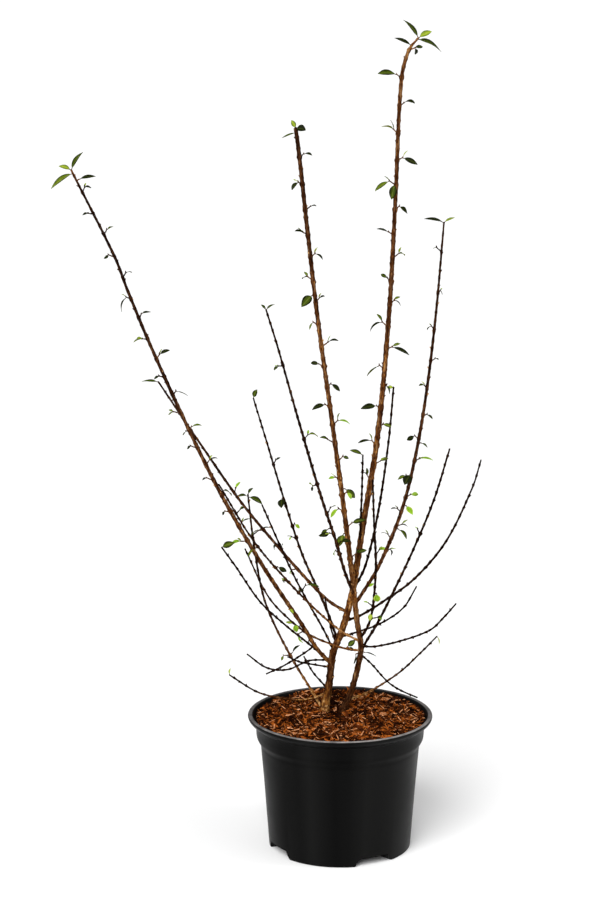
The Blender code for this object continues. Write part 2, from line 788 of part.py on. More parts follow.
def main():
    clear_scene()
    materials = {
        "pot": plain_material("pot_plastic", (0.012, 0.012, 0.013), 0.42),
        "compost": plain_material("bark_compost", (0.12, 0.045, 0.02), 0.95),
        "bark": plain_material("stem_bark", (0.17, 0.075, 0.03), 0.7),
        "foliage": plain_material("foliage", (0.07, 0.15, 0.03), 0.6),
    }
    make_pot(materials["pot"])
    make_compost(materials["compost"])
    make_limbs(materials["bark"], materials["foliage"])


main()
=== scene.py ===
"""The looks of the potted cotoneaster: a moulded nursery pot, composted bark, and bark, twigs and leaves that
grow by the same rule as the solids. Lengths are in millimetres up to the mesh, which is in metres.
"""

import json
import math
import random
from dataclasses import dataclass

import bpy
from mathutils import Matrix, Vector, noise
from mathutils.geometry import interpolate_bezier

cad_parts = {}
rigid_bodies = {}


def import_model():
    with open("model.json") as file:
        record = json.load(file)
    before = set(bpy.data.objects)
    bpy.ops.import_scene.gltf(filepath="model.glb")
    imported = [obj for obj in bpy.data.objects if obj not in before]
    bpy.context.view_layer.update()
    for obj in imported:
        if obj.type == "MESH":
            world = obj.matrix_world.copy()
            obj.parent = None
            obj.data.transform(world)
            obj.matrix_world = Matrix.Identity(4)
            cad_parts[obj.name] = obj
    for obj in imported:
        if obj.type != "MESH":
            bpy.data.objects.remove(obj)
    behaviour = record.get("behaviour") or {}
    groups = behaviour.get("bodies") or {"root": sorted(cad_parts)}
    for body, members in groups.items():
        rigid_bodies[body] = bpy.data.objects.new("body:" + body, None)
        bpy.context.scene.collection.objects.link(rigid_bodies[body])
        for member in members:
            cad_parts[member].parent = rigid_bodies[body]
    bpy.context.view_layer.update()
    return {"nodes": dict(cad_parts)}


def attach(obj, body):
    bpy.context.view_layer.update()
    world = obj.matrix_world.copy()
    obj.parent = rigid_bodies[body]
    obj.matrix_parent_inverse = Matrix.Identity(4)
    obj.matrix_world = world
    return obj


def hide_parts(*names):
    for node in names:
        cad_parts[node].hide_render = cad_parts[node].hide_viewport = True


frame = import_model()

MM = 0.001
UP = Vector((0, 0, 1))

# Camera and light
CAMERA_PLACE = (0.0, -2.92696, 1.11326)
CAMERA_PITCH = 11.92
CAMERA_TURN = 0.96
CAMERA_LENS = 100.0
FLOOR_RADIUS = 70.0

# Pot
POT_TOP = 166.6
POT_SIDES = 160
WALL = 2.0
FLOOR = 2.5
FOOT_RADIUS = 87.1
NOTCH_COUNT = 4
NOTCH_FIRST = -150.4
NOTCH_FOOT_HALF_ANGLE = 17.0
NOTCH_ROOF_HALF_ANGLE = 12.4
NOTCH_HEIGHT = 10.2
NOTCH_DEPTH = 30.0
NOTCH_ROOF = 2.2
NOTCH_STEP = 2.5
POT_WALL = (
    (FOOT_RADIUS - 1.0, 0.0), (FOOT_RADIUS - 0.3, 0.35), (FOOT_RADIUS, 1.2), (93.5, 86.0), (97.1, 127.2),
)
POT_COLLAR = ((97.4, 128.8), (98.7, 131.6), (101.4, 136.5), (102.4, 140.5), (102.8, 146.0))
POT_LIP = (
    (103.1, 153.6), (103.8, 155.1), (105.8, 156.4), (109.3, 158.9), (112.0, 161.9), (112.8, 164.5),
    (112.1, 166.0), (110.2, POT_TOP), (107.9, 166.2), (106.7, 164.4), (105.9, 161.6),
)
POT_INSIDE = (
    (105.4, 160.0), (102.2, 156.0), (101.2, 150.0), (100.4, 141.0), (95.1, 129.0), (91.5, 86.0),
    (FOOT_RADIUS - WALL, FLOOR),
)
COLLAR_STEP = 1.2
LIP_STEP = 0.8
# Dust and painted highlight bands on the wall, as a place round the pot and a share
DUST_AND_HIGHLIGHT_BANDS = (
    (0.0, 0.4), (0.06, 0.3), (0.133, 0.05), (0.16, 0.1), (0.19, 0.7), (0.22, 0.3), (0.24, 0.05), (0.27, 0.05),
    (0.305, 0.75), (0.34, 0.55), (0.38, 0.75), (0.42, 0.9), (0.5, 0.5), (0.62, 0.2), (0.75, 0.7), (0.86, 0.2),
    (1.0, 0.4),
)
# How much the plastic shines, by height as a share of 0.2 m: the slanting foot of the collar hardly does
COLLAR_SHEEN = ((0.0, 0.04), (0.62, 0.04), (0.645, 0.024), (0.69, 0.024), (0.71, 0.04))
# How grey the top of the lip is, as a place round the pot and a share: wear, with a painted highlight
# strongest in front and faintest at the back
LIP_WEAR_AND_HIGHLIGHT = (
    (0.0, 0.35), (0.1, 0.6), (0.2, 0.95), (0.3, 0.95), (0.42, 0.75), (0.5, 0.65), (0.6, 0.25), (0.9, 0.25),
    (1.0, 0.35),
)

# Compost
COMPOST_FLAT = 161.5
COMPOST_LEVEL = 162.3
COMPOST_RADIUS = 105.4
CHIP_COUNT = 5200
FIBRE_COUNT = 5600
CHIP_TONES = (
    ("0e0401", "240c03"),
    ("2c1006", "56270b"),
    ("66300c", "ac5c20"),
    ("a26438", "dca074"),
    ("1a0802", "3c1e0a"),
)
CHIP_SHARES = (38, 26, 21, 4, 12)
FIBRE_SHARES = (26, 24, 26, 10, 14)
# Patches of darker and of brighter chips, and the tones in them
PATCH_SCALE = 0.045
PATCH_SHARE = 0.7
PATCH_TONES = ((0, 0, 4), (2, 2, 1, 3))
# How far the compost stands up against the far wall
BACK_RISE = 2.4
# Painted shade between the stems, where the darkest chips are dealt: its middle, half width, front and back
PAINTED_SHADE_HOLLOW = (-6.0, 9.0, -2.0, 70.0)

# Limbs
TUBE_STEP = 2.6
TWIG_TUBE_STEP = 1.5
STEM_TUBE_SIDES = 18
BOUGH_TUBE_SIDES = 14
TWIG_TUBE_SIDES = 8
COURSE_STEP = 7.0
# Thin limbs are made rounder than the solids' three-sided twigs
THIN_SWELL = 0.12
THICK_FROM = 2.4
LOOK_SEED = 1000
# The soft young ends of two limbs are paler, and the stem's end is thinner
SOFT_TIP = 30.0
SOFT_TIP_TONES = {"stem_left": 1.5, "bough_left": 2.0}
SOFT_TIP_TAPER = 0.45
FLARE_HEIGHT = 9.0

# Spurs and leaves, angles in degrees from the way the shoot runs
SPUR_LENGTH = (3.5, 7.5)
SPUR_RADIUS = 0.75
SPUR_LEAN = (48, 66)
SPUR_TURN = 50
FIRST_SPUR = 8.0
LAST_SPUR = 12.0
GAP_JITTER = 0.05
MAIN_LEAF_LEAN = (58, 140)
MAIN_LEAF_SIZE = (0.55, 1.5)
SECOND_LEAF_LEAN = (15, 58)
SECOND_LEAF_SHARE = 0.55
SECOND_LEAF_SIZE = (0.4, 0.75)
LEAF_ROLL = 0.8
LEAF_DROOP = (0.1, 0.5)
LEAF_SINK = 2.4
STANDING_LEAF_DROOP = 0.14
OWN_LEAF_FACING = 0.5
OWN_LEAF_TURN = 40
OWN_LEAF_ROLL = 0.3
OWN_LEAF_DROOP = (0.08, 0.3)
OWN_SPUR = 2.0


@dataclass
class Limb:
    """One limb: where it leaves its parent, the places it passes, and what it carries."""

    name: str
    parent: str
    leaves_at: float
    route: tuple
    radii: tuple
    wood_to: float = 0.0
    leafy_from: float = 0.0
    spur_gaps: tuple = ()
    side: int = 1
    leaf_sizes: tuple = ()
    seed: int = 0
    own_leaves: tuple = ()
    flare: float = 0.0


# Limb(name, parent, the height where it leaves the parent, the places it passes,
#      its radii at base, middle and tip, what it carries).
# An own leaf is its distance before the limb's tip, its lean to the viewer's left, how far it turns
# towards the viewer, and its length.
LIMBS = (
    Limb(
        "stem_left", "compost", 0,
        ((-20, 25, COMPOST_FLAT), (-13.5, 21, 198), (-9, 16, 238), (0, 13, 262), (9, 11, 293), (16, 10, 326),
         (26, 12, 394), (43.4, 16, 505), (56.2, 20, 650), (63.2, 22, 793), (69, 20, 933), (77.5, 18, 968),
         (88.5, 16, 982)),
        (4.6, 2.95, 2.1), wood_to=440, leafy_from=454, spur_gaps=(22, 34), leaf_sizes=(12, 18),
        seed=4737, own_leaves=((0, 76, 0, 26), (0, -16, 0, 16), (2, -64, 0, 31), (12, 104, 0, 21),
                               (175, 163, 60, 18)),
        flare=2.4,
    ),
    Limb(
        "stem_right", "compost", 0,
        ((3, 22, COMPOST_FLAT), (14, 18, 190), (24.5, 9, 238), (24.6, 5, 256), (20, 2, 284), (16, -3, 323),
         (5.4, -13, 413), (-11, -28, 538), (-27.5, -40, 659), (-41, -49, 777), (-49, -54, 852),
         (-53, -56, 883)),
        (3.7, 2.65, 2.4), wood_to=352, leafy_from=364, spur_gaps=(20, 32), side=-1, leaf_sizes=(12, 15),
        seed=106, own_leaves=((0, -95, 30, 12), (0, 18, 0, 10), (5, 100, 0, 17), (195, 109, 50, 20),
                              (436, -132, 20, 16), (492, 139, 40, 17)),
        flare=1.9,
    ),
    Limb(
        "bough_left", "stem_left", 224,
        ((-28, 5, 246), (-44, -12, 278), (-94, -42, 365), (-142, -68, 459), (-182.5, -88, 551),
         (-219.4, -104, 641), (-243.6, -113, 705), (-256.4, -118, 742), (-303, -130, 842)),
        (2.4, 2.1, 1.0), wood_to=372, leafy_from=396, spur_gaps=(22, 28), leaf_sizes=(12, 13),
        seed=10607, own_leaves=((0, -50, 0, 23), (0, 38, 0, 14), (4, 92, 0, 30), (13, -98, 0, 18)),
    ),
    Limb(
        "bough_right", "stem_right", 305,
        ((25.4, 6, 315), (45.2, 22, 344), (71.7, 50, 401), (88, 76, 455), (103.5, 104, 535),
         (116.5, 132, 638), (126.1, 152, 751)),
        (2.1, 1.85, 0.95), wood_to=340, leafy_from=364, spur_gaps=(15, 57), side=-1, leaf_sizes=(15, 8),
        seed=5222, own_leaves=((0, 80, 0, 24), (0, -54, 0, 14), (274, -113, 0, 9), (316, 149, 60, 16),
                               (355, -126, 40, 15), (385, -111, 0, 15)),
    ),
    Limb(
        "bough_middle", "stem_left", 291,
        ((-13, 16, 303), (-36.3, 30, 322), (-78.5, 58, 363), (-123.8, 84, 412), (-174.6, 108, 480),
         (-227.2, 125, 555)),
        (1.8, 1.55, 0.95), wood_to=330, leafy_from=338, spur_gaps=(26, 188), leaf_sizes=(11, 10), seed=3870,
        own_leaves=((0, 52, 0, 20),),
    ),
    Limb(
        "shoot_front_tall", "stem_right", 314,
        ((4.5, -16, 351), (-5.7, -36, 392), (-24, -70, 457), (-50.2, -118, 560), (-71.4, -152, 645),
         (-84.2, -165, 690)),
        (1.7, 1.4, 0.8), leafy_from=374, spur_gaps=(13, 199), leaf_sizes=(10, 13), seed=11346,
        own_leaves=((0, -63, 0, 11), (0, 20, 0, 8), (313, 122, 0, 15)),
    ),
    Limb(
        "shoot_back_tall", "stem_left", 254,
        ((-15, 30, 284), (-29, 52, 311), (-48.4, 84, 347), (-70.7, 112, 408), (-93.6, 142, 477),
         (-110.4, 160, 528)),
        (1.5, 1.2, 0.8), leafy_from=364, spur_gaps=(16, 172), leaf_sizes=(10, 8), seed=5767,
        own_leaves=((0, -48, 40, 12), (133, 145, 60, 13)),
    ),
    Limb(
        "shoot_knee_short", "stem_left", 250,
        ((-11, 8, 270), (-19, 0, 313)),
        (1.0, 0.9, 0.8),
    ),
    Limb(
        "shoot_knee_left", "stem_left", 241,
        ((-18.4, 8, 266), (-41.6, 0, 311), (-60.2, -10, 351), (-93.9, -30, 435)),
        (1.1, 1.0, 0.8), leafy_from=322, spur_gaps=(70, 90), side=-1, leaf_sizes=(14, 9), seed=476,
    ),
    Limb(
        "shoot_front_left", "stem_right", 256,
        ((3, -3, 270), (-25.4, -24, 300), (-58.9, -50, 342), (-101.8, -92, 406), (-140.3, -125, 481)),
        (1.2, 1.0, 0.8), leafy_from=330, spur_gaps=(22, 90), side=-1, leaf_sizes=(9, 8), seed=4325,
    ),
    Limb(
        "shoot_low_left", "stem_left", 186,
        ((-30, 33, 176), (-55, 42, 170), (-100, 50, 176), (-138, 60, 196)),
        (1.1, 1.0, 0.8), own_leaves=((0, -60, 0, 8),),
    ),
    Limb(
        "shoot_low_back", "compost", 0,
        ((-24, 36, 164), (-39, 42, 188), (-58, 60, 214), (-82, 80, 255), (-97, 98, 289), (-109, 120, 348),
         (-117, 138, 409)),
        (1.3, 1.2, 0.9), leafy_from=221, spur_gaps=(160, 160), leaf_sizes=(12, 12), seed=6947,
        own_leaves=((0, -42, 0, 10), (2, 83, 0, 16), (3, -120, 0, 19), (211, -72, 0, 13)),
    ),
    Limb(
        "shoot_cross_left", "stem_right", 244,
        ((11, 2, 247), (-3, 4, 250), (-36, 7, 263), (-63, 16, 281), (-89, 28, 307), (-117, 40, 363)),
        (1.1, 1.0, 0.8), leafy_from=268, spur_gaps=(150, 150), leaf_sizes=(10, 10), seed=3378,
    ),
    Limb(
        "shoot_front_low", "bough_left", 240,
        ((-43, -6, 260), (-68, -30, 288), (-96, -56, 323), (-123, -82, 372), (-139, -95, 399)),
        (1.1, 1.0, 0.9), own_leaves=((0, -76, 30, 18),),
    ),
    Limb(
        "shoot_droop_back", "bough_left", 252,
        ((-42, 10, 241), (-70, 20, 220), (-91, 26, 208)),
        (0.9, 0.9, 0.8),
    ),
    Limb(
        "shoot_droop_front", "bough_left", 230,
        ((-39, -4, 234), (-63, -24, 229), (-88, -44, 237), (-111, -64, 260)),
        (0.9, 0.9, 0.8),
    ),
    Limb(
        "shoot_flat_left", "stem_left", 219,
        ((-27, 24, 220), (-50, 38, 220), (-65, 46, 224)),
        (0.9, 0.9, 0.8),
    ),
    Limb(
        "shoot_foot_back", "stem_left", 190,
        ((-34, 48, 204), (-45.3, 62, 220)),
        (0.9, 0.8, 0.8),
    ),
    Limb(
        "shoot_flat_right", "stem_right", 250,
        ((41, -6, 253), (74.3, -45, 272.4), (106.4, -85, 297.3), (121, -102, 317.2), (134.4, -115, 337.4)),
        (1.0, 0.95, 0.8),
    ),
    Limb(
        "shoot_foot_right", "stem_right", 178,
        ((25, 34, 178), (42, 46, 183), (75, 74, 197), (103, 100, 216), (122, 116, 231)),
        (1.1, 1.0, 0.8), own_leaves=((0, -104, 0, 10),),
    ),
    Limb(
        "shoot_rim_right", "stem_right", 239,
        ((37.3, 16, 225.4), (58.2, 34, 196.6), (74, 46, 182), (96, 58, 168.5)),
        (0.9, 0.8, 0.8),
    ),
    Limb(
        "shoot_back_right", "stem_left", 259,
        ((18, 28, 260.6), (49.4, 54, 265), (78.8, 82, 278), (95.1, 100, 300.3)),
        (1.1, 1.0, 0.8),
    ),
    Limb(
        "shoot_long_right", "stem_left", 280,
        ((25, 24, 284), (51, 40, 296), (91, 66, 319), (131, 94, 360), (164, 118, 423), (175, 130, 456)),
        (1.45, 1.3, 0.8),
    ),
    Limb(
        "shoot_front_right", "stem_right", 242,
        ((32, 5, 257), (43, 0, 277), (60.6, -16, 318), (86.4, -46, 385), (109, -74, 452), (125.6, -98, 518)),
        (1.5, 1.25, 0.9), leafy_from=406, spur_gaps=(150, 150), leaf_sizes=(8, 8), seed=1327,
    ),
    Limb(
        "shoot_front_middle", "stem_right", 260,
        ((32, -4, 275), (37, -11, 292), (40, -22, 316), (42, -42, 365), (39, -68, 426), (37, -90, 479)),
        (1.4, 1.2, 0.9), leafy_from=290, spur_gaps=(20, 600), side=-1, leaf_sizes=(9, 9), seed=8092,
        own_leaves=((165, -170, 40, 12),),
    ),
    Limb(
        "shoot_back_middle", "stem_left", 317,
        ((30.4, 28, 346), (46.4, 66, 406), (59, 104, 486), (65, 126, 549)),
        (1.4, 1.2, 1.0), own_leaves=((0, 100, 30, 9),),
    ),
    Limb(
        "shoot_leader_short", "stem_left", 374,
        ((24, 2, 409), (25, -8, 440), (26, -26, 495)),
        (1.1, 1.0, 0.8), own_leaves=((0, 60, 0, 16),),
    ),
)


# Bark tones from pale tan to near black, as dark, middle and light streaks
BARK_TONES = (
    ("5c3c1e", "9c7244", "c6a070"),
    ("3a1e0a", "74461c", "a6783e"),
    ("241006", "522e12", "80603e"),
    ("1c0b04", "3e200c", "66462c"),
    ("130702", "2c160a", "4a301c"),
    ("0b0402", "1e0e07", "36200f"),
    ("050201", "140803", "241208"),
)
BARK_SCATTER = 0.45
# Streaks along a limb: how fast they change across and along it, and their depth in tones
STREAK_ACROSS = 0.55
STREAK_ALONG = 0.03
STREAK_DEPTH = 1.9
STALK_KIND = len(BARK_TONES)
# The tones along a limb, from its base to its tip
TWIG_BARK = (5.5, 6.2, 6.6)
LIMB_BARK = {
    "stem_left": (1.3, 3.2, 1.9, 1.6, 1.9, 2.0, 2.2, 2.4, 2.5, 2.6, 2.7, 2.8, 2.8, 2.7, 2.6, 2.5, 2.4),
    "stem_right": (3.6, 2.9, 1.9, 2.1, 2.5, 2.4, 2.8, 4.0, 4.2),
    "bough_left": (2.0, 2.3, 2.9, 4.8, 5.8),
    "bough_right": (3.1, 4.0, 5.4),
    "bough_middle": (2.6, 3.9, 5.5),
    "shoot_low_left": (-0.6, 3.6, 5.8),
    "shoot_low_back": (0.6, 5.2, 6.0),
    "shoot_foot_right": (-0.6, 4.2, 6.0),
    "shoot_front_left": (0.2, 4.4, 5.8),
    "shoot_cross_left": (0.4, 4.8, 5.8),
    "shoot_front_tall": (4.0, 5.4, 6.0),
}

# Leaf tints as upper face, midrib and lower face
LEAF_TINTS = (
    ("leaf_dark", ("0a0f01", "1a2104"), ("262e08", "3a4212"), ("20260a", "383e16")),
    ("leaf_deep", ("222c04", "3e4c0a"), ("48581a", "626c2a"), ("343a10", "545a22")),
    ("leaf_middle", ("3e4e0c", "5e6e16"), ("666e26", "808c38"), ("565c1e", "767c34")),
    ("leaf_young", ("5e7010", "88982a"), ("80902a", "9caa42"), ("7e8434", "9ea456")),
    ("leaf_light", ("7e902c", "a8b64c"), ("96a440", "b4c05e"), ("90964a", "b4b66e")),
    ("leaf_bright", ("4e7808", "7ca61c"), ("74962a", "92ae42"), ("668820", "86a23c")),
)
OLD_LEAVES = ((0, 1, 2), (6, 3, 1))
YOUNG_LEAVES = ((1, 2, 3, 4, 5), (1, 2, 2, 1, 1))
# Below this height more of the leaves are fresh green
FRESH_HEIGHT = 540.0
FRESH_OLD_LEAVES = ((0, 1, 2, 5), (4, 2, 1, 3))
OWN_TINTS = {
    "stem_left": (1, 3, 1, 0, 1),
    "stem_right": (0, 3, 1, 1, 1, 2),
    "bough_left": (1, 3, 2, 0),
    "bough_right": (0, 3, 1, 0, 5, 1),
    "shoot_back_tall": (1, 0),
    "shoot_low_left": (4,),
    "shoot_foot_right": (4,),
    "shoot_back_middle": (4,),
    "shoot_low_back": (1, 1, 1, 0),
    "shoot_front_middle": (5,),
}
OWN_WIDTHS = {
    "stem_left": (1.0, 1.0, 1.0, 1.0, 1.35),
    "stem_right": (1.5, 1.0, 0.6, 1.5, 1.3, 1.3),
    "bough_right": (1.0, 1.0, 1.2, 1.8, 1.3, 1.5),
    "shoot_back_tall": (1.2, 1.7),
    "shoot_front_middle": (1.5,),
    "shoot_low_back": (1.3, 1.3, 1.3, 1.3),
}

# Small leaves low in the plant: the limb, the distance along it, the leaf's root and tip, the way its
# upper side looks, its tint and its width
LOW_LEAVES = (
    ("shoot_cross_left", 20, (8.5, 3, 250), (17.5, 3, 258), (-0.2, -1, 0.3), 1, 1.4),
    ("shoot_cross_left", 20, (9.5, 3, 249.5), (16, 3, 245.5), (0.2, -1, 0.3), 0, 1.2),
    ("stem_right", 87, (28.9, 5, 242.8), (43.5, 5, 239.1), (0, 0, 1), 0, 1.0),
    ("stem_right", 85, (19.2, 5, 240.3), (17.6, 5, 227.6), (1, -0.5, 0), 0, 0.7),
    ("shoot_cross_left", 90, (-56, 12, 275.5), (-53, 9, 267), (0.1, -1, 0.2), 5, 1.5),
    ("shoot_cross_left", 90, (-58, 12, 276.5), (-66, 11, 279), (0.1, -0.6, 1), 3, 0.8),
    ("shoot_front_middle", 42, (37.5, -13, 298), (35.4, -14, 288), (0, -1, 0.3), 4, 1.0),
    ("bough_right", 30, (33, 11, 323), (40, 10, 328), (-0.3, -0.7, 1), 5, 0.9),
    ("bough_left", 101, (-61, -25, 306), (-56.5, -26, 300.5), (0, -1, 0.4), 3, 1.2),
)
LOW_LEAF_DROOP = 0.12


# Mesh building
class Heap:
    """Points, faces and material numbers of many small shapes, joined into one piece."""

    def __init__(self):
        self.points = []
        self.faces = []
        self.kinds = []

    def add(self, points, faces, kind):
        base = len(self.points)
        self.points += [tuple(point) for point in points]
        self.faces += [tuple(base + i for i in face) for face in faces]
        self.kinds += [kind] * len(faces) if isinstance(kind, int) else list(kind)

    def piece(self, name, materials, smooth=True):
        mesh = bpy.data.meshes.new(name)
        mesh.from_pydata([(x * MM, y * MM, z * MM) for x, y, z in self.points], [], self.faces)
        for material in materials:
            mesh.materials.append(material)
        mesh.polygons.foreach_set("material_index", self.kinds)
        mesh.polygons.foreach_set("use_smooth", [smooth] * len(self.faces))
        mesh.update()
        made = bpy.data.objects.new(name, mesh)
        bpy.context.scene.collection.objects.link(made)
        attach(made, "root")
        return made


# Materials
class Paint:
    """A Principled material under construction, with short ways to add noise, colour steps and bump."""

    def __init__(self, name, roughness, specular=0.5):
        self.material = bpy.data.materials.new(name)
        self.material.use_nodes = True
        self.nodes = self.material.node_tree.nodes
        self.links = self.material.node_tree.links
        self.shader = self.nodes["Principled BSDF"]
        self.shader.inputs["Roughness"].default_value = roughness
        self.shader.inputs["Specular IOR Level"].default_value = specular
        self.place = self.nodes.new("ShaderNodeTexCoord").outputs["Object"]

    def stretched(self, scale):
        node = self.nodes.new("ShaderNodeMapping")
        node.inputs["Scale"].default_value = scale
        self.links.new(self.place, node.inputs["Vector"])
        return node.outputs["Vector"]

    def noise(self, scale, detail=3.0, rough=0.55, place=None):
        node = self.nodes.new("ShaderNodeTexNoise")
        node.inputs["Scale"].default_value = scale
        node.inputs["Detail"].default_value = detail
        node.inputs["Roughness"].default_value = rough
        self.links.new(place or self.place, node.inputs["Vector"])
        return node.outputs["Fac"]

    def cells(self, scale, place=None):
        node = self.nodes.new("ShaderNodeTexVoronoi")
        node.inputs["Scale"].default_value = scale
        self.links.new(place or self.place, node.inputs["Vector"])
        return node.outputs["Distance"]

    def height(self, low, high):
        """0 at one height of the plant and 1 at another, in metres."""
        split = self.nodes.new("ShaderNodeSeparateXYZ")
        self.links.new(self.place, split.inputs["Vector"])
        return self.ranged(split.outputs["Z"], low, high, 0.0, 1.0)

    def around(self):
        """The way round the pot: 0 at the left, 0.25 in front, 0.5 at the right and 1 at the left again."""
        node = self.nodes.new("ShaderNodeTexGradient")
        node.gradient_type = "RADIAL"
        self.links.new(self.place, node.inputs["Vector"])
        return node.outputs["Fac"]

    def ranged(self, value, low, high, to_low, to_high):
        node = self.nodes.new("ShaderNodeMapRange")
        self.links.new(value, node.inputs["Value"])
        for key, number in (("From Min", low), ("From Max", high), ("To Min", to_low), ("To Max", to_high)):
            node.inputs[key].default_value = number
        return node.outputs["Result"]

    def steps(self, value, stops):
        """Colours along a value from 0 to 1."""
        node = self.nodes.new("ShaderNodeValToRGB")
        ramp = node.color_ramp
        while len(ramp.elements) < len(stops):
            ramp.elements.new(0.5)
        for element, (position, colour) in zip(ramp.elements, stops):
            element.position = position
            element.color = (*colour, 1.0)
        self.links.new(value, node.inputs["Fac"])
        return node.outputs["Color"]

    def shares(self, value, stops):
        """Shares from 0 to 1 along a value from 0 to 1."""
        return self.steps(value, [(position, (share,) * 3) for position, share in stops])

    def mixed(self, share, first, second):
        """Two colours mixed by a share; each is a socket or a colour."""
        node = self.nodes.new("ShaderNodeMix")
        node.data_type = "RGBA"
        self.links.new(share, node.inputs["Factor"])
        for key, colour in ((6, first), (7, second)):
            if isinstance(colour, tuple):
                node.inputs[key].default_value = (*colour, 1.0)
            else:
                self.links.new(colour, node.inputs[key])
        return node.outputs[2]

    def colour(self, socket):
        self.links.new(socket, self.shader.inputs["Base Color"])

    def roughness(self, socket):
        self.links.new(socket, self.shader.inputs["Roughness"])

    def bump(self, height, strength, distance):
        node = self.nodes.new("ShaderNodeBump")
        node.inputs["Strength"].default_value = strength
        node.inputs["Distance"].default_value = distance
        self.links.new(height, node.inputs["Height"])
        self.links.new(node.outputs["Normal"], self.shader.inputs["Normal"])


def hexed(code):
    """A linear colour from a plain sRGB code."""
    channels = [int(code[i : i + 2], 16) / 255 for i in (0, 2, 4)]
    return tuple(c / 12.92 if c <= 0.04045 else ((c + 0.055) / 1.055) ** 2.4 for c in channels)


def pot_plastic():
    """Black moulded plastic with faint upright bands of dust and of painted highlight, and a grey line along
    the top of the lip that is partly wear and partly a painted highlight.
    """
    paint = Paint("moulded_plastic", 0.36, 0.04)
    # Painted highlight: the black is lightened in upright bands round the wall, where the lamps' reflections
    # would fall, mixed with dust
    bands = paint.shares(paint.around(), DUST_AND_HIGHLIGHT_BANDS)
    black = paint.mixed(bands, (0.001, 0.001, 0.001), (0.0066, 0.0066, 0.0064))
    smears = paint.ranged(paint.noise(24, 2, 0.5, paint.stretched((1, 1, 0.04))), 0.42, 0.68, 0.0, 0.3)
    wall_dust_and_highlight = paint.mixed(smears, black, (0.0062, 0.0062, 0.006))
    # Painted highlight: the top of the lip is grey with rub marks, brightest in front and faint at the back
    lip_rub_and_highlight = paint.steps(paint.noise(70, 4, 0.6), ((0.3, (0.08, 0.074, 0.074)), (0.7, (0.3, 0.28, 0.27))))
    lip_wear_and_highlight = paint.mixed(paint.shares(paint.around(), LIP_WEAR_AND_HIGHLIGHT), (0.016, 0.015, 0.015), lip_rub_and_highlight)
    paint.colour(paint.mixed(paint.height(0.1656, 0.1662), wall_dust_and_highlight, lip_wear_and_highlight))
    sheen = paint.shares(paint.height(0.0, 0.2), COLLAR_SHEEN)
    paint.links.new(sheen, paint.shader.inputs["Specular IOR Level"])
    paint.roughness(paint.ranged(paint.noise(22, 4), 0.3, 0.7, 0.3, 0.44))
    paint.bump(paint.noise(1300, 2), 0.1, 0.0002)
    return paint.material


def chip_paint(name, dark, light, roughness=0.9):
    paint = Paint(name, roughness, 0.02)
    grain = paint.noise(420, 5, 0.7, paint.stretched((1, 1, 2.2)))
    paint.colour(paint.steps(grain, ((0.34, hexed(dark)), (0.66, hexed(light)))))
    paint.bump(paint.noise(1100, 3), 0.5, 0.0004)
    return paint.material


def bark_paint(number, tone):
    """Smooth bark of one tone, with fine streaks and pale dots."""
    dark, middle, light = (hexed(code) for code in tone)
    paint = Paint(f"bark_tone_{number}", 0.85, 0.01)
    streaks = paint.noise(300, 5, 0.68, paint.stretched((1, 1, 0.22)))
    base = paint.steps(streaks, ((0.34, dark), (0.5, middle), (0.68, light)))
    dots = paint.ranged(paint.cells(520, paint.stretched((1, 1, 0.6))), 0.12, 0.2, 0.4, 0.0)
    paint.colour(paint.mixed(dots, base, light))
    paint.bump(paint.noise(700, 4, 0.6, paint.stretched((1, 1, 0.35))), 0.45, 0.0004)
    return paint.material


def leaf_paint(name, dark, light, roughness, specular=0.5):
    paint = Paint(name, roughness, specular)
    cloud = paint.noise(120, 4, 0.6)
    paint.colour(paint.steps(cloud, ((0.3, hexed(dark)), (0.7, hexed(light)))))
    paint.bump(paint.noise(900, 3), 0.25, 0.0003)
    return paint.material


def floor_paint():
    paint = Paint("studio_floor", 0.85, 0.2)
    paint.colour(paint.steps(paint.noise(0.8, 2), ((0.3, (0.86, 0.86, 0.86)), (0.7, (0.88, 0.88, 0.88)))))
    return paint.material


# Turned pot with four notches in its foot
def turned(name, profile, sides):
    points = []
    rings = []
    for radius, height in profile:
        if radius == 0:
            rings.append([len(points)])
            points.append((0, 0, height * MM))
            continue
        rings.append(range(len(points), len(points) + sides))
        for step in range(sides):
            angle = 2 * math.pi * step / sides
            points.append((radius * math.cos(angle) * MM, radius * math.sin(angle) * MM, height * MM))
    faces = []
    for lower, upper in zip(rings, rings[1:]):
        for step in range(sides):
            after = (step + 1) % sides
            if len(lower) == 1:
                faces.append((lower[0], upper[after], upper[step]))
            elif len(upper) == 1:
                faces.append((lower[step], lower[after], upper[0]))
            else:
                faces.append((lower[step], lower[after], upper[after], upper[step]))
    return linked(name, points, faces)


def linked(name, points, faces):
    mesh = bpy.data.meshes.new(name)
    mesh.from_pydata(points, [], faces)
    made = bpy.data.objects.new(name, mesh)
    bpy.context.scene.collection.objects.link(made)
    return made


def sector_block(name, middle, half_angles, inner, outer, heights):
    """A closed block between two radii, with the half-angle and the height of its bottom and of its top."""
    steps = max(2, round(2 * half_angles[0] / NOTCH_STEP))
    points = []
    for half, height in zip(half_angles, heights):
        angles = [math.radians(middle - half + 2 * half * i / steps) for i in range(steps + 1)]
        for radius, around in ((inner, angles), (outer, angles[::-1])):
            points += [(radius * math.cos(a) * MM, radius * math.sin(a) * MM, height * MM) for a in around]
    count = len(points) // 2
    faces = [tuple(range(count)), tuple(range(2 * count - 1, count - 1, -1))]
    for i in range(count):
        after = (i + 1) % count
        faces.append((i, i + count, after + count))
        faces.append((i, after + count, after))
    return linked(name, points, faces)


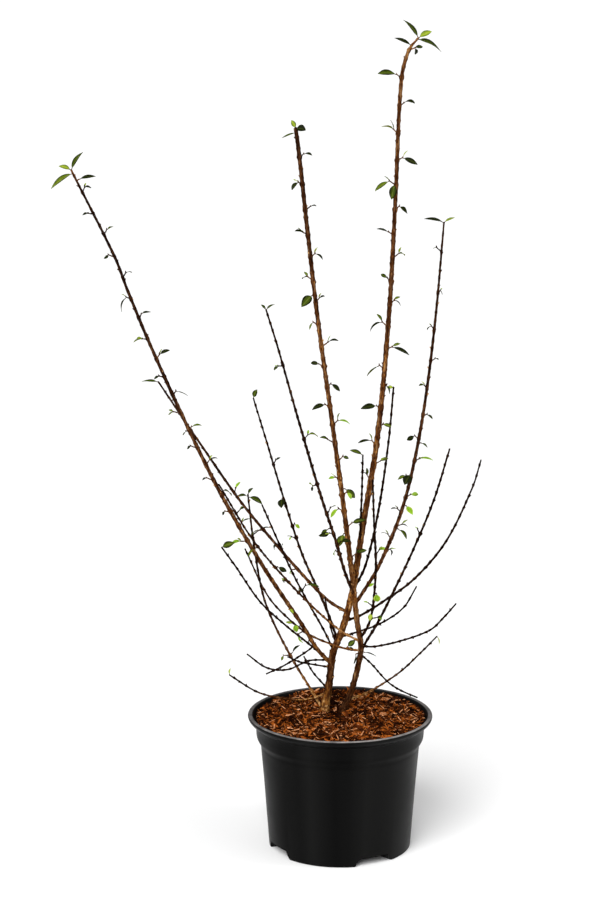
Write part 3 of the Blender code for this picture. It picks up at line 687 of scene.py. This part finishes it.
def combine(target, others, operation):
    pieces = bpy.data.collections.new(target.name + "_pieces")
    for other in others:
        pieces.objects.link(other)
        bpy.context.scene.collection.objects.unlink(other)
    modifier = target.modifiers.new(operation.title(), "BOOLEAN")
    modifier.operation = operation
    modifier.solver = "EXACT"
    modifier.operand_type = "COLLECTION"
    modifier.collection = pieces
    graph = bpy.context.evaluated_depsgraph_get()
    result = bpy.data.meshes.new_from_object(target.evaluated_get(graph))
    target.modifiers.clear()
    target.data = result
    for other in others:
        bpy.data.objects.remove(other, do_unlink=True)
    bpy.data.collections.remove(pieces)


def notch_blocks(name, inner_gap, side_gap, bottom, top):
    """The four blocks of the foot's notches, narrower or wider than the notch by the two gaps."""
    inner = FOOT_RADIUS - NOTCH_DEPTH + inner_gap
    outer = FOOT_RADIUS + NOTCH_DEPTH if inner_gap > 0 else FOOT_RADIUS - WALL / 2
    slant = (NOTCH_FOOT_HALF_ANGLE - NOTCH_ROOF_HALF_ANGLE) / NOTCH_HEIGHT
    spare = math.degrees(side_gap / FOOT_RADIUS)
    half_angles = [NOTCH_FOOT_HALF_ANGLE - slant * height + spare for height in (bottom, top)]
    blocks = []
    for number in range(NOTCH_COUNT):
        middle = NOTCH_FIRST + 360 / NOTCH_COUNT * number
        blocks.append(sector_block(f"{name}_{number}", middle, half_angles, inner, outer, (bottom, top)))
    return blocks


def rounded(points, step):
    """The points of a smooth profile line."""
    flat = smooth_route([(r, z, 0.0) for r, z in points], step)
    return [(p.x, p.y) for p in flat]


def make_pot():
    outside = [*POT_WALL, *rounded(POT_COLLAR, COLLAR_STEP), *rounded(POT_LIP, LIP_STEP)]
    pot = turned("pot_shell", [(0.0, 0.0), *outside, *POT_INSIDE, (0.0, FLOOR)], POT_SIDES)
    combine(pot, notch_blocks("housing", -NOTCH_ROOF, NOTCH_ROOF, 1.0, NOTCH_HEIGHT + NOTCH_ROOF), "UNION")
    combine(pot, notch_blocks("notch", 0.01, 0.0, -1.0, NOTCH_HEIGHT), "DIFFERENCE")
    pot.data.materials.clear()
    pot.data.materials.append(pot_plastic())
    pot.data.shade_smooth()
    pot.data.set_sharp_from_angle(angle=math.radians(35))
    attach(pot, "root")
    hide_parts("pot")


# Compost
def compost_height(x, y):
    """The lie of the compost: small mounds, a hollow between the stems and a rise to the far wall."""
    reach = math.hypot(x, y)
    rough = noise.noise(Vector((x, y, 3)) * 0.035) * 2.2 + noise.noise(Vector((x, y, 9)) * 0.13) * 1.1
    hollow = 8.0 * math.exp(-((x + 7) ** 2 + (y - 14) ** 2) / 90)
    rise = BACK_RISE * (max(y, 0.0) * reach / COMPOST_RADIUS ** 2) ** 2
    return COMPOST_LEVEL + rough - hollow + rise


def painted_shade_share(x, y):
    """How far a spot lies in the painted shade between the stems, from 0 to 1."""
    middle, half_width, front, back = PAINTED_SHADE_HOLLOW
    beyond = max(front - y, 0.0, (y - back) * 0.4)
    return math.exp(-((x - middle) / half_width) ** 2 - (beyond / half_width) ** 2)


def make_compost(dice):
    heap = Heap()
    rings, sides = 40, 96
    points = [(0, 0, compost_height(0, 0))]
    faces = []
    for ring in range(1, rings + 1):
        radius = COMPOST_RADIUS * ring / rings
        for side in range(sides):
            angle = 2 * math.pi * side / sides
            x, y = radius * math.cos(angle), radius * math.sin(angle)
            crumbs = noise.noise(Vector((x, y, 5)) * 0.6) * 1.4
            points.append((x, y, compost_height(x, y) - 2.6 + crumbs))
    for side in range(sides):
        after = (side + 1) % sides
        faces.append((0, 1 + side, 1 + after))
        for ring in range(rings - 1):
            a = 1 + ring * sides
            faces.append((a + side, a + sides + side, a + sides + after, a + after))
    heap.add(points, faces, 0)
    # The bed under the chips is painted near black: dark fine compost, and painted shade for the gaps between
    # the chips
    bed = heap.piece("compost_bed", [chip_paint("fine_compost_gap_shade", "050201", "140a04", 0.95)])
    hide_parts("compost")
    chips = Heap()
    for number in range(CHIP_COUNT + FIBRE_COUNT):
        add_chip(chips, dice, number >= CHIP_COUNT)
    paints = [chip_paint(f"bark_chip_{i}", dark, light) for i, (dark, light) in enumerate(CHIP_TONES)]
    piece = chips.piece("compost_chips", paints, smooth=False)


def add_chip(heap, dice, fibre):
    """A flat splinter of bark with jagged ends, lying on the compost."""
    length = 4.5 + 15 * dice.random() ** 2 if fibre else 2.4 + 12 * dice.random() ** 2.4
    width = dice.uniform(0.45, 1.1) if fibre else length * dice.uniform(0.14, 0.36)
    thick = dice.uniform(0.4, 0.9) if fibre else min(width, 3.2) * dice.uniform(0.25, 0.6)
    radius = (COMPOST_RADIUS - length / 2 - 0.6) * math.sqrt(dice.random())
    angle = dice.uniform(0, 2 * math.pi)
    x, y = radius * math.cos(angle), radius * math.sin(angle)
    lift = dice.uniform(-2.2, 1.0) + thick * 0.4
    turn = Matrix.Rotation(dice.uniform(0, 2 * math.pi), 3, "Z")
    tilt = Matrix.Rotation(dice.gauss(0, 0.3), 3, "Y") @ Matrix.Rotation(dice.gauss(0, 0.55), 3, "X")
    place = turn @ tilt
    middle = Vector((x, y, compost_height(x, y) + lift))
    stations = 3
    rings = []
    bend = dice.uniform(-0.12, 0.12)
    for station in range(stations):
        share = station / (stations - 1) - 0.5
        taper = dice.uniform(0.45, 1.0) if station != 1 else 1.0
        for side, level in ((-1, -1), (1, -1), (1, 1), (-1, 1)):
            along = share * length + (dice.uniform(-0.14, 0.14) * length if station != 1 else 0)
            across = side * width / 2 * taper * dice.uniform(0.75, 1.1)
            height = level * thick / 2 * dice.uniform(0.6, 1.1) + bend * length * (share * share * 4 - 0.5)
            rings.append(middle + place @ Vector((along, across, height)))
    faces = [(3, 2, 1, 0), (8, 9, 10, 11)]
    for station in range(stations - 1):
        for side in range(4):
            after = (side + 1) % 4
            a = station * 4
            faces.append((a + side, a + after, a + 4 + after, a + 4 + side))
    kind = dice.choices(range(len(CHIP_TONES)), FIBRE_SHARES if fibre else CHIP_SHARES)[0]
    patch = noise.noise(Vector((x, y, 7)) * PATCH_SCALE)
    if dice.random() < PATCH_SHARE * abs(patch):
        kind = dice.choice(PATCH_TONES[patch > 0])
    # Painted shade: the darkest chips are dealt into the hollow between the stems, where the stems' shade
    # falls
    if dice.random() < 0.9 * painted_shade_share(x, y):
        kind = 0
    heap.add(rings, faces, kind)


# Limbs
def smooth_route(places, step):
    """Points along a smooth curve through the places, a step or less apart."""
    places = [Vector(place) for place in places]
    reach = [(b - a).length for a, b in zip(places, places[1:])]
    slopes = []
    for i in range(len(places)):
        first = max(i - 1, 0)
        last = min(i + 1, len(places) - 1)
        slopes.append((places[last] - places[first]) / sum(reach[first:last]))
    points = []
    for i, length in enumerate(reach):
        count = max(2, math.ceil(length / step) + 1)
        first_handle = places[i] + slopes[i] * length / 3
        last_handle = places[i + 1] - slopes[i + 1] * length / 3
        span = interpolate_bezier(places[i], first_handle, last_handle, places[i + 1], count)
        points += span if not points else span[1:]
    return points


def radius_at(radii, fraction):
    """The quadratic through the base, middle and tip radii."""
    base, middle, tip = radii
    return (
        base * (1 - fraction) * (1 - 2 * fraction)
        + 4 * middle * fraction * (1 - fraction)
        + tip * fraction * (2 * fraction - 1)
    )


class Course:
    """The middle line and the radius of one limb, measured along its length."""

    def __init__(self, limb, parent):
        self.limb = limb
        places = limb.route
        if parent:
            fork = parent.place(parent.distance_at_height(limb.leaves_at))[0]
            places = (fork, *limb.route)
        self.points = smooth_route(places, COURSE_STEP)
        self.along = [0.0]
        for a, b in zip(self.points, self.points[1:]):
            self.along.append(self.along[-1] + (b - a).length)
        self.length = self.along[-1]

    def radius(self, distance):
        radius = radius_at(self.limb.radii, distance / self.length)
        radius += THIN_SWELL * max(THICK_FROM - radius, 0.0)
        if self.limb.flare:
            radius += self.limb.flare * math.exp(-distance / FLARE_HEIGHT)
            radius *= 1 - SOFT_TIP_TAPER * self.youth(distance)
        return radius

    def youth(self, distance):
        """From 0 where a soft young end begins to 1 at its tip."""
        if self.limb.name not in SOFT_TIP_TONES:
            return 0.0
        return max(1 - (self.length - distance) / SOFT_TIP, 0.0)

    def place(self, distance):
        """The point and the heading at a distance from the base."""
        distance = min(max(distance, 0.0), self.length)
        span = 0
        while span < len(self.along) - 2 and self.along[span + 1] < distance:
            span += 1
        share = (distance - self.along[span]) / (self.along[span + 1] - self.along[span])
        point = self.points[span].lerp(self.points[span + 1], share)
        return point, (self.points[span + 1] - self.points[span]).normalized()

    def distance_at_height(self, height):
        """The distance where the limb first passes a height on its way up or down."""
        for i, (a, b) in enumerate(zip(self.points, self.points[1:])):
            if min(a.z, b.z) <= height <= max(a.z, b.z) and a.z != b.z:
                share = (height - a.z) / (b.z - a.z)
                return self.along[i] + share * (self.along[i + 1] - self.along[i])
        return 0.0


def tube(points, radii, sides, relief=0.0):
    """Rings along a line, with a pointed end. Relief is the depth of the bark's ridges in millimetres."""
    made = []
    across = (points[1] - points[0]).orthogonal().normalized()
    for i, (point, radius) in enumerate(zip(points, radii)):
        heading = (points[min(i + 1, len(points) - 1)] - points[max(i - 1, 0)]).normalized()
        across = (across - heading * across.dot(heading)).normalized()
        other = heading.cross(across)
        for side in range(sides):
            angle = 2 * math.pi * side / sides
            out = across * math.cos(angle) + other * math.sin(angle)
            size = radius
            if relief:
                spot = point + out * radius
                size += relief * noise.noise(Vector((spot.x * 0.8, spot.y * 0.8, spot.z * 0.22)))
                size += relief * 0.5 * noise.noise(spot * 0.9)
            made.append(point + out * size)
    faces = []
    for ring in range(len(points) - 1):
        a = ring * sides
        for side in range(sides):
            after = (side + 1) % sides
            faces.append((a + side, a + after, a + sides + after, a + sides + side))
    tip = len(made)
    made.append(points[-1] + (points[-1] - points[-2]).normalized() * radii[-1] * 0.8)
    a = (len(points) - 1) * sides
    faces += [(a + side, a + (side + 1) % sides, tip) for side in range(sides)]
    return made, faces


def turned_from(heading, outward, lean):
    """The direction that leans by some degrees from a heading towards the side it faces."""
    return (heading * math.cos(math.radians(lean)) + outward * math.sin(math.radians(lean))).normalized()


def side_of(heading):
    """The way across a limb that lies in the plane the viewer sees."""
    return heading.cross(Vector((0, 1, 0))).normalized()


def shoot_spurs(course, start, dice):
    """Each spur's place, direction and length, on alternate sides and further apart towards the tip."""
    limb = course.limb
    distance = max(course.distance_at_height(limb.leafy_from), start + FIRST_SPUR)
    leafy = course.length - distance
    side = limb.side
    while limb.spur_gaps and distance < course.length - LAST_SPUR:
        heading = course.place(distance)[1]
        turn = Matrix.Rotation(math.radians(dice.uniform(-SPUR_TURN, SPUR_TURN)), 3, heading)
        outward = turn @ (side_of(heading) * side)
        yield distance, heading, outward, dice.uniform(*SPUR_LEAN), dice.uniform(*SPUR_LENGTH)
        low, high = limb.spur_gaps
        share = 1 - (course.length - distance) / leafy
        distance += (low + (high - low) * share) * dice.uniform(1 - GAP_JITTER, 1 + GAP_JITTER)
        side = -side


def spur_leaves(heading, outward, tip, size, dice):
    """The large leaf of a spur, which bends out, and often a small young one that stands up beside it."""
    upper = (heading + Vector([dice.uniform(-LEAF_ROLL, LEAF_ROLL) for _ in range(3)])).normalized()
    lead = turned_from(heading, outward, dice.uniform(*MAIN_LEAF_LEAN))
    length = size * dice.uniform(*MAIN_LEAF_SIZE)
    leaves = [(tip, lead, upper, length, dice.uniform(*LEAF_DROOP))]
    second = dice.random() < SECOND_LEAF_SHARE
    lean = dice.uniform(*SECOND_LEAF_LEAN)
    small = size * dice.uniform(*SECOND_LEAF_SIZE)
    if second:
        young = turned_from(heading, outward, lean)
        leaves.append((tip, young, heading - outward, small, STANDING_LEAF_DROOP))
    return leaves


def own_leaves(course, dice):
    """Where each of the limb's own leaves grows, and the leaf, which looks up and partly to the viewer."""
    for back, lean, turn, length in course.limb.own_leaves:
        place, heading = course.place(course.length - back)
        side = math.copysign(1, lean)
        outward = Matrix.Rotation(math.radians(turn) * side, 3, heading) @ (side_of(heading) * side)
        reach = course.radius(course.length - back) + OWN_SPUR if back > LAST_SPUR else 0.0
        facing = OWN_LEAF_FACING + turn / OWN_LEAF_TURN
        upper = (heading + Vector((dice.uniform(-OWN_LEAF_ROLL, OWN_LEAF_ROLL), -facing, 0.2))).normalized()
        lead = turned_from(heading, outward, abs(lean))
        yield place, (place + outward * reach, lead, upper, length, dice.uniform(*OWN_LEAF_DROOP))


# Leaves
LEAF_STATIONS = 13
LEAF_COLUMNS = (-1.0, -0.6, -0.09, 0.09, 0.6, 1.0)
LEAF_WIDTH = 0.42
LEAF_FOLD = 0.42
# Leaves shorter than this are broader for their length
SMALL_LEAF = 16.0
SMALL_LEAF_WIDE = 0.6
# How far the leaves on spurs look to the viewer
LEAF_VIEW = 0.42
LEAF_THICK = 0.42
MATERIALS_PER_LEAF = 3
STALK_BOW = 0.09
STALK_SIDES = 6
# Share of a bud's length, and its radius there as a share of that length
BUD_SHAPE = ((-0.3, 0.2), (0.1, 0.3), (0.4, 0.31), (0.7, 0.2), (1.0, 0.05))
BUD_SIDES = 7
BUD_SIZE = (1.8, 3.0)
KNOT_BUD_SIZE = (1.5, 2.8)
PALE_BUDS = 0.3
PALE_BUD_TONE = 0
NODE_SWELL = 1.6
KNOT_GAPS = (8, 15)
KNOT_LENGTH = 1.9
KNOT_SWELL = 0.22
# Thin twigs have stronger knots for their thickness
TWIG_KNOT_SWELL = 0.42


def leaf_half_width(share):
    return math.sin(math.pi * min(share, 1.0) ** 0.86) ** 0.85


def add_leaf(heap, root, heading, upper, length, wide, bend, tint, dice):
    """A folded blade that arches away from its upper side, with a midrib and a paler lower face."""
    if abs(heading.dot(upper.normalized())) > 0.95:
        upper = Vector((0.3, -1.0, 0.3))
    across = heading.cross(upper).normalized()
    face = across.cross(heading).normalized()
    wide *= 1 + SMALL_LEAF_WIDE * max(1 - length / SMALL_LEAF, 0)
    half = length * wide * LEAF_WIDTH / 2 * dice.uniform(0.85, 1.15)
    fold = LEAF_FOLD * dice.uniform(0.6, 1.3)
    twist = dice.uniform(-0.5, 0.5)
    middle = root.copy()
    rows = []
    for station in range(LEAF_STATIONS):
        share = station / (LEAF_STATIONS - 1)
        lean = bend * share
        ahead = heading * math.cos(lean) - face * math.sin(lean)
        above = face * math.cos(lean) + heading * math.sin(lean)
        side = across * math.cos(twist * share) + above * math.sin(twist * share)
        above = side.cross(ahead).normalized()
        width = half * max(leaf_half_width(share), 0.04)
        for column in LEAF_COLUMNS:
            flat = column * width
            lift = abs(flat) * fold * (1.15 - 0.35 * abs(column))
            rows.append((middle + side * flat + above * lift, above, abs(column) < 0.99))
        middle = middle + ahead * (length / (LEAF_STATIONS - 1))
    points = []
    for layer in (1, -1):
        for spot, above, inner in rows:
            points.append(spot + above * (layer * LEAF_THICK / 2 * (1.0 if inner else 0.3)))
    columns = len(LEAF_COLUMNS)
    lower = LEAF_STATIONS * columns
    faces, kinds = [], []
    for station in range(LEAF_STATIONS - 1):
        for column in range(columns - 1):
            a = station * columns + column
            faces.append((a, a + 1, a + columns + 1, a + columns))
            # Painted shade: the outer strip of each half of the upper face takes the next darker tint, as
            # darkened margins
            blade = max(tint - 1, 0) if column in (0, columns - 2) else tint
            kinds.append(blade * MATERIALS_PER_LEAF + (1 if column == 2 else 0))
            faces.append(tuple(lower + i for i in (a + columns, a + columns + 1, a + 1, a)))
            kinds.append(tint * MATERIALS_PER_LEAF + 2)
        for column in (0, columns - 1):
            a = station * columns + column
            edge = (a, a + columns, lower + a + columns, lower + a)
            faces.append(edge if column == 0 else edge[::-1])
            kinds.append(tint * MATERIALS_PER_LEAF)
    heap.add(points, faces, kinds)


def petiole(heap, start, end, heading):
    """The short curved stalk between a spur and its leaf."""
    middle = (start + end) / 2 - heading * (end - start).length * STALK_BOW
    line = smooth_route([start, middle, end], 1.0)
    radii = [0.68 - 0.22 * i / len(line) for i in range(len(line))]
    points, faces = tube(line, radii, STALK_SIDES)
    heap.add(points, faces, STALK_KIND)


def bud(heap, root, heading, size, kind):
    """A pointed bud of a few scales."""
    line = [root + heading * size * share for share, _ in BUD_SHAPE]
    points, faces = tube(line, [size * width for _, width in BUD_SHAPE], BUD_SIDES)
    heap.add(points, faces, kind)


def limb_knots(course, dice):
    """The distance, strength and turn of each knot along a limb, on alternate sides."""
    distance = dice.uniform(6, 12)
    side = 1
    found = []
    while distance < course.length - 6:
        found.append((distance, side * dice.uniform(0.7, 1.2), dice.uniform(-70, 70)))
        distance += dice.uniform(*KNOT_GAPS)
        side = -side
    return found


def along(values, share):
    """The value at a share of a row of evenly spaced values."""
    place = min(max(share, 0.0), 1.0) * (len(values) - 1)
    before = min(int(place), len(values) - 2)
    return values[before] + (values[before + 1] - values[before]) * (place - before)


def tone_at(course, distance, dice, streak=0.0):
    """The number of the bark tone that a face gets at a distance from the limb's base."""
    name = course.limb.name
    tone = along(LIMB_BARK.get(name, TWIG_BARK), distance / course.length)
    tone += (SOFT_TIP_TONES.get(name, tone) - tone) * course.youth(distance)
    tone += streak + dice.gauss(0, BARK_SCATTER)
    return min(max(round(tone), 0), len(BARK_TONES) - 1)


def make_plant():
    courses = {}
    limbs, twigs, leaves = Heap(), Heap(), Heap()
    for limb in LIMBS:
        courses[limb.name] = Course(limb, courses.get(limb.parent))
    for number, limb in enumerate(LIMBS):
        course = courses[limb.name]
        wood_end = course.distance_at_height(limb.wood_to) if limb.wood_to else 0.0
        dice = random.Random(limb.seed)
        look = random.Random(LOOK_SEED + number)
        own = list(own_leaves(course, dice))
        spurs = grown_spurs(course, wood_end, dice)
        nodes = [distance for distance, *_ in spurs]
        grow_limb(course, nodes, limbs if limb.wood_to else twigs, twigs, look)
        tints = OWN_TINTS.get(limb.name, (1,) * len(own))
        widths = OWN_WIDTHS.get(limb.name, (1.0,) * len(own))
        for (place, leaf), tint, wide in zip(own, tints, widths):
            if leaf[0] != place:
                spur(twigs, place, leaf[0], tone_at(course, course.length / 2, look))
            dress_leaf(leaf, tint, twigs, leaves, look, wide)
        for distance, point, tip, young_way, grown in spurs:
            kind = tone_at(course, distance, look)
            spur(twigs, point, tip, kind)
            bud(twigs, tip, young_way, look.uniform(*BUD_SIZE), kind)
            old = FRESH_OLD_LEAVES if tip.z < FRESH_HEIGHT else OLD_LEAVES
            for kinds, leaf in zip((old, YOUNG_LEAVES), grown):
                dress_leaf(leaf, look.choices(*kinds)[0], twigs, leaves, look, view=LEAF_VIEW)
    add_low_leaves(courses, twigs, leaves)
    finish_plant(limbs, twigs, leaves)


def grown_spurs(course, start, dice):
    """Each spur's place along the limb, its two ends, the way its bud points, and its leaves."""
    low, high = course.limb.leaf_sizes or (0, 0)
    found = []
    for distance, heading, outward, lean, reach in shoot_spurs(course, start, dice):
        point = course.place(distance)[0]
        tip = point + turned_from(heading, outward, lean) * (course.radius(distance) + reach)
        size = low + (high - low) * distance / course.length
        grown = spur_leaves(heading, outward, tip, size, dice)
        found.append((distance, point, tip, turned_from(heading, outward, 20), grown))
    return found


def add_low_leaves(courses, twigs, leaves):
    look = random.Random(LOOK_SEED)
    for name, distance, root, tip, upper, tint, wide in LOW_LEAVES:
        root = Vector(root)
        lead = Vector(tip) - root
        spur(twigs, courses[name].place(distance)[0], root, tone_at(courses[name], distance, look))
        leaf = (root, lead.normalized(), Vector(upper), lead.length, LOW_LEAF_DROOP)
        dress_leaf(leaf, tint, twigs, leaves, look, wide)


def spur(heap, point, tip, kind):
    line = smooth_route([point, point.lerp(tip, 0.5) - UP * 0.3, tip], 1.0)
    radii = [SPUR_RADIUS * (1.3 - 0.45 * i / len(line)) for i in range(len(line))]
    heap.add(*tube(line, radii, BUD_SIDES, 0.2), kind)


def dress_leaf(leaf, tint, twigs, leaves, look, wide=1.0, view=0.0):
    """A leaf with its stalk, turned to the viewer by a share."""
    tip, lead, upper, length, droop = leaf
    upper = upper - Vector((0, view, 0))
    stalk = min(LEAF_SINK, length * 0.12)
    root = tip + lead * stalk
    petiole(twigs, tip - lead * 0.6, root + lead * 0.5, upper.normalized())
    add_leaf(leaves, root, lead, upper, length - stalk * 0.5, wide, 2.0 * droop, tint, look)


def grow_limb(course, nodes, heap, twigs, look):
    """The limb itself, with its knots, ridges and buds, swollen where its spurs grow."""
    limb = course.limb
    thick = max(limb.radii)
    sides = STEM_TUBE_SIDES if thick > 3.5 else BOUGH_TUBE_SIDES if limb.wood_to else TWIG_TUBE_SIDES
    knots = limb_knots(course, look)
    swellings = [(at, abs(strength)) for at, strength, _ in knots] + [(at, NODE_SWELL) for at in nodes]
    growth = KNOT_SWELL if limb.wood_to else TWIG_KNOT_SWELL
    count = math.ceil(course.length / (TUBE_STEP if limb.wood_to else TWIG_TUBE_STEP))
    points, radii = [], []
    for i in range(count + 1):
        distance = course.length * i / count
        radius = course.radius(distance)
        for at, strength in swellings:
            swell = math.exp(-((distance - at) / KNOT_LENGTH) ** 2)
            radius += (0.1 * radius + growth) * swell * strength
        points.append(course.place(distance)[0])
        radii.append(radius)
    if limb.parent == "compost":
        points[0] = points[0] - UP * 4
    points, faces = tube(points, radii, sides, min(0.1 * thick, 0.4))
    shift = look.uniform(0, 100)
    kinds = []
    for i in range(len(faces)):
        distance = course.length * min(i // sides / count, 1.0)
        spot = Vector((i % sides * STREAK_ACROSS, distance * STREAK_ALONG, shift))
        kinds.append(tone_at(course, distance, look, STREAK_DEPTH * noise.noise(spot)))
    heap.add(points, faces, kinds)
    for at, strength, turn in knots:
        point, heading = course.place(at)
        side = side_of(heading) * math.copysign(1, strength)
        outward = Matrix.Rotation(math.radians(turn), 3, heading) @ side
        root = point + outward * course.radius(at) * 0.9
        lead = turned_from(heading, outward, 38)
        pale = limb.leafy_from and look.random() < PALE_BUDS
        kind = PALE_BUD_TONE if pale else tone_at(course, at, look)
        bud(twigs, root, lead, look.uniform(*(BUD_SIZE if pale else KNOT_BUD_SIZE)), kind)


def finish_plant(limbs, twigs, leaves):
    barks = [bark_paint(number, tone) for number, tone in enumerate(BARK_TONES)]
    stalk = leaf_paint("leaf_stalk", "241408", "4a3014", 0.7, 0.02)
    names = [node for node in frame["nodes"] if node.startswith(("stem_", "bough_"))]
    masses = [node for node in frame["nodes"] if node.startswith(("leafy_", "shoot_"))]
    piece = limbs.piece("bark_limbs", barks)
    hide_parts(*names)
    piece = twigs.piece("bark_twigs", [*barks, stalk])
    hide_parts(*masses)
    paints = []
    for name, blade, rib, under in LEAF_TINTS:
        paints.append(leaf_paint(name, *blade, 0.5, 0.04))
        paints.append(leaf_paint(name + "_rib", *rib, 0.6, 0.03))
        paints.append(leaf_paint(name + "_under", *under, 0.8, 0.01))
    piece = leaves.piece("foliage_leaves", paints)


# Studio
def make_studio():
    sides = 64
    angles = [2 * math.pi * i / sides for i in range(sides)]
    ring = [(FLOOR_RADIUS * math.cos(a), FLOOR_RADIUS * math.sin(a), 0.0) for a in angles]
    mesh = bpy.data.meshes.new("studio_floor")
    mesh.from_pydata(ring, [], [tuple(range(sides))])
    mesh.materials.append(floor_paint())
    floor = bpy.data.objects.new("studio_floor", mesh)
    floor.location.z = -0.0002
    bpy.context.scene.collection.objects.link(floor)
    bpy.context.scene.world = studio_world()
    add_sun("key_light", (54, 0, -22), 3.9, 45)
    add_sun("fill_light", (50, 0, 60), 0.4, 40)
    add_strip("left_box", (-0.95, -1.15, 0.55), (0.2, 1.1), 0.8)
    add_strip("right_box", (1.2, -0.25, 0.55), (0.3, 1.1), 4.2)
    bpy.context.scene.view_settings.view_transform = "Standard"


def studio_world():
    """Light from above that falls off towards the horizon."""
    world = bpy.data.worlds.new("studio")
    world.use_nodes = True
    nodes, links = world.node_tree.nodes, world.node_tree.links
    split = nodes.new("ShaderNodeSeparateXYZ")
    links.new(nodes.new("ShaderNodeTexCoord").outputs["Generated"], split.inputs["Vector"])
    ramp = nodes.new("ShaderNodeValToRGB")
    ramp.color_ramp.elements[0].color = (0.1, 0.1, 0.1, 1.0)
    ramp.color_ramp.elements[1].color = (0.66, 0.66, 0.66, 1.0)
    links.new(split.outputs["Z"], ramp.inputs["Fac"])
    links.new(ramp.outputs["Color"], nodes["Background"].inputs["Color"])
    return world


def add_sun(name, turn, strength, angle):
    light = bpy.data.lights.new(name, "SUN")
    light.energy = strength
    light.angle = math.radians(angle)
    lamp = bpy.data.objects.new(name, light)
    lamp.rotation_euler = [math.radians(t) for t in turn]
    bpy.context.scene.collection.objects.link(lamp)


def add_strip(name, place, size, power):
    light = bpy.data.lights.new(name, "AREA")
    light.shape = "RECTANGLE"
    light.size, light.size_y = size
    light.energy = power
    lamp = bpy.data.objects.new(name, light)
    lamp.location = place
    lamp.rotation_euler = (Vector((0, 0, 0.2)) - Vector(place)).to_track_quat("-Z", "Y").to_euler()
    bpy.context.scene.collection.objects.link(lamp)


def make_camera():
    data = bpy.data.cameras.new("camera")
    data.lens = CAMERA_LENS
    data.clip_end = 200.0
    camera = bpy.data.objects.new("camera", data)
    camera.location = CAMERA_PLACE
    camera.rotation_euler = (math.radians(90 - CAMERA_PITCH), 0.0, math.radians(CAMERA_TURN))
    bpy.context.scene.collection.objects.link(camera)
    bpy.context.scene.camera = camera


make_camera()
make_studio()
make_pot()
make_compost(random.Random(7))
make_plant()
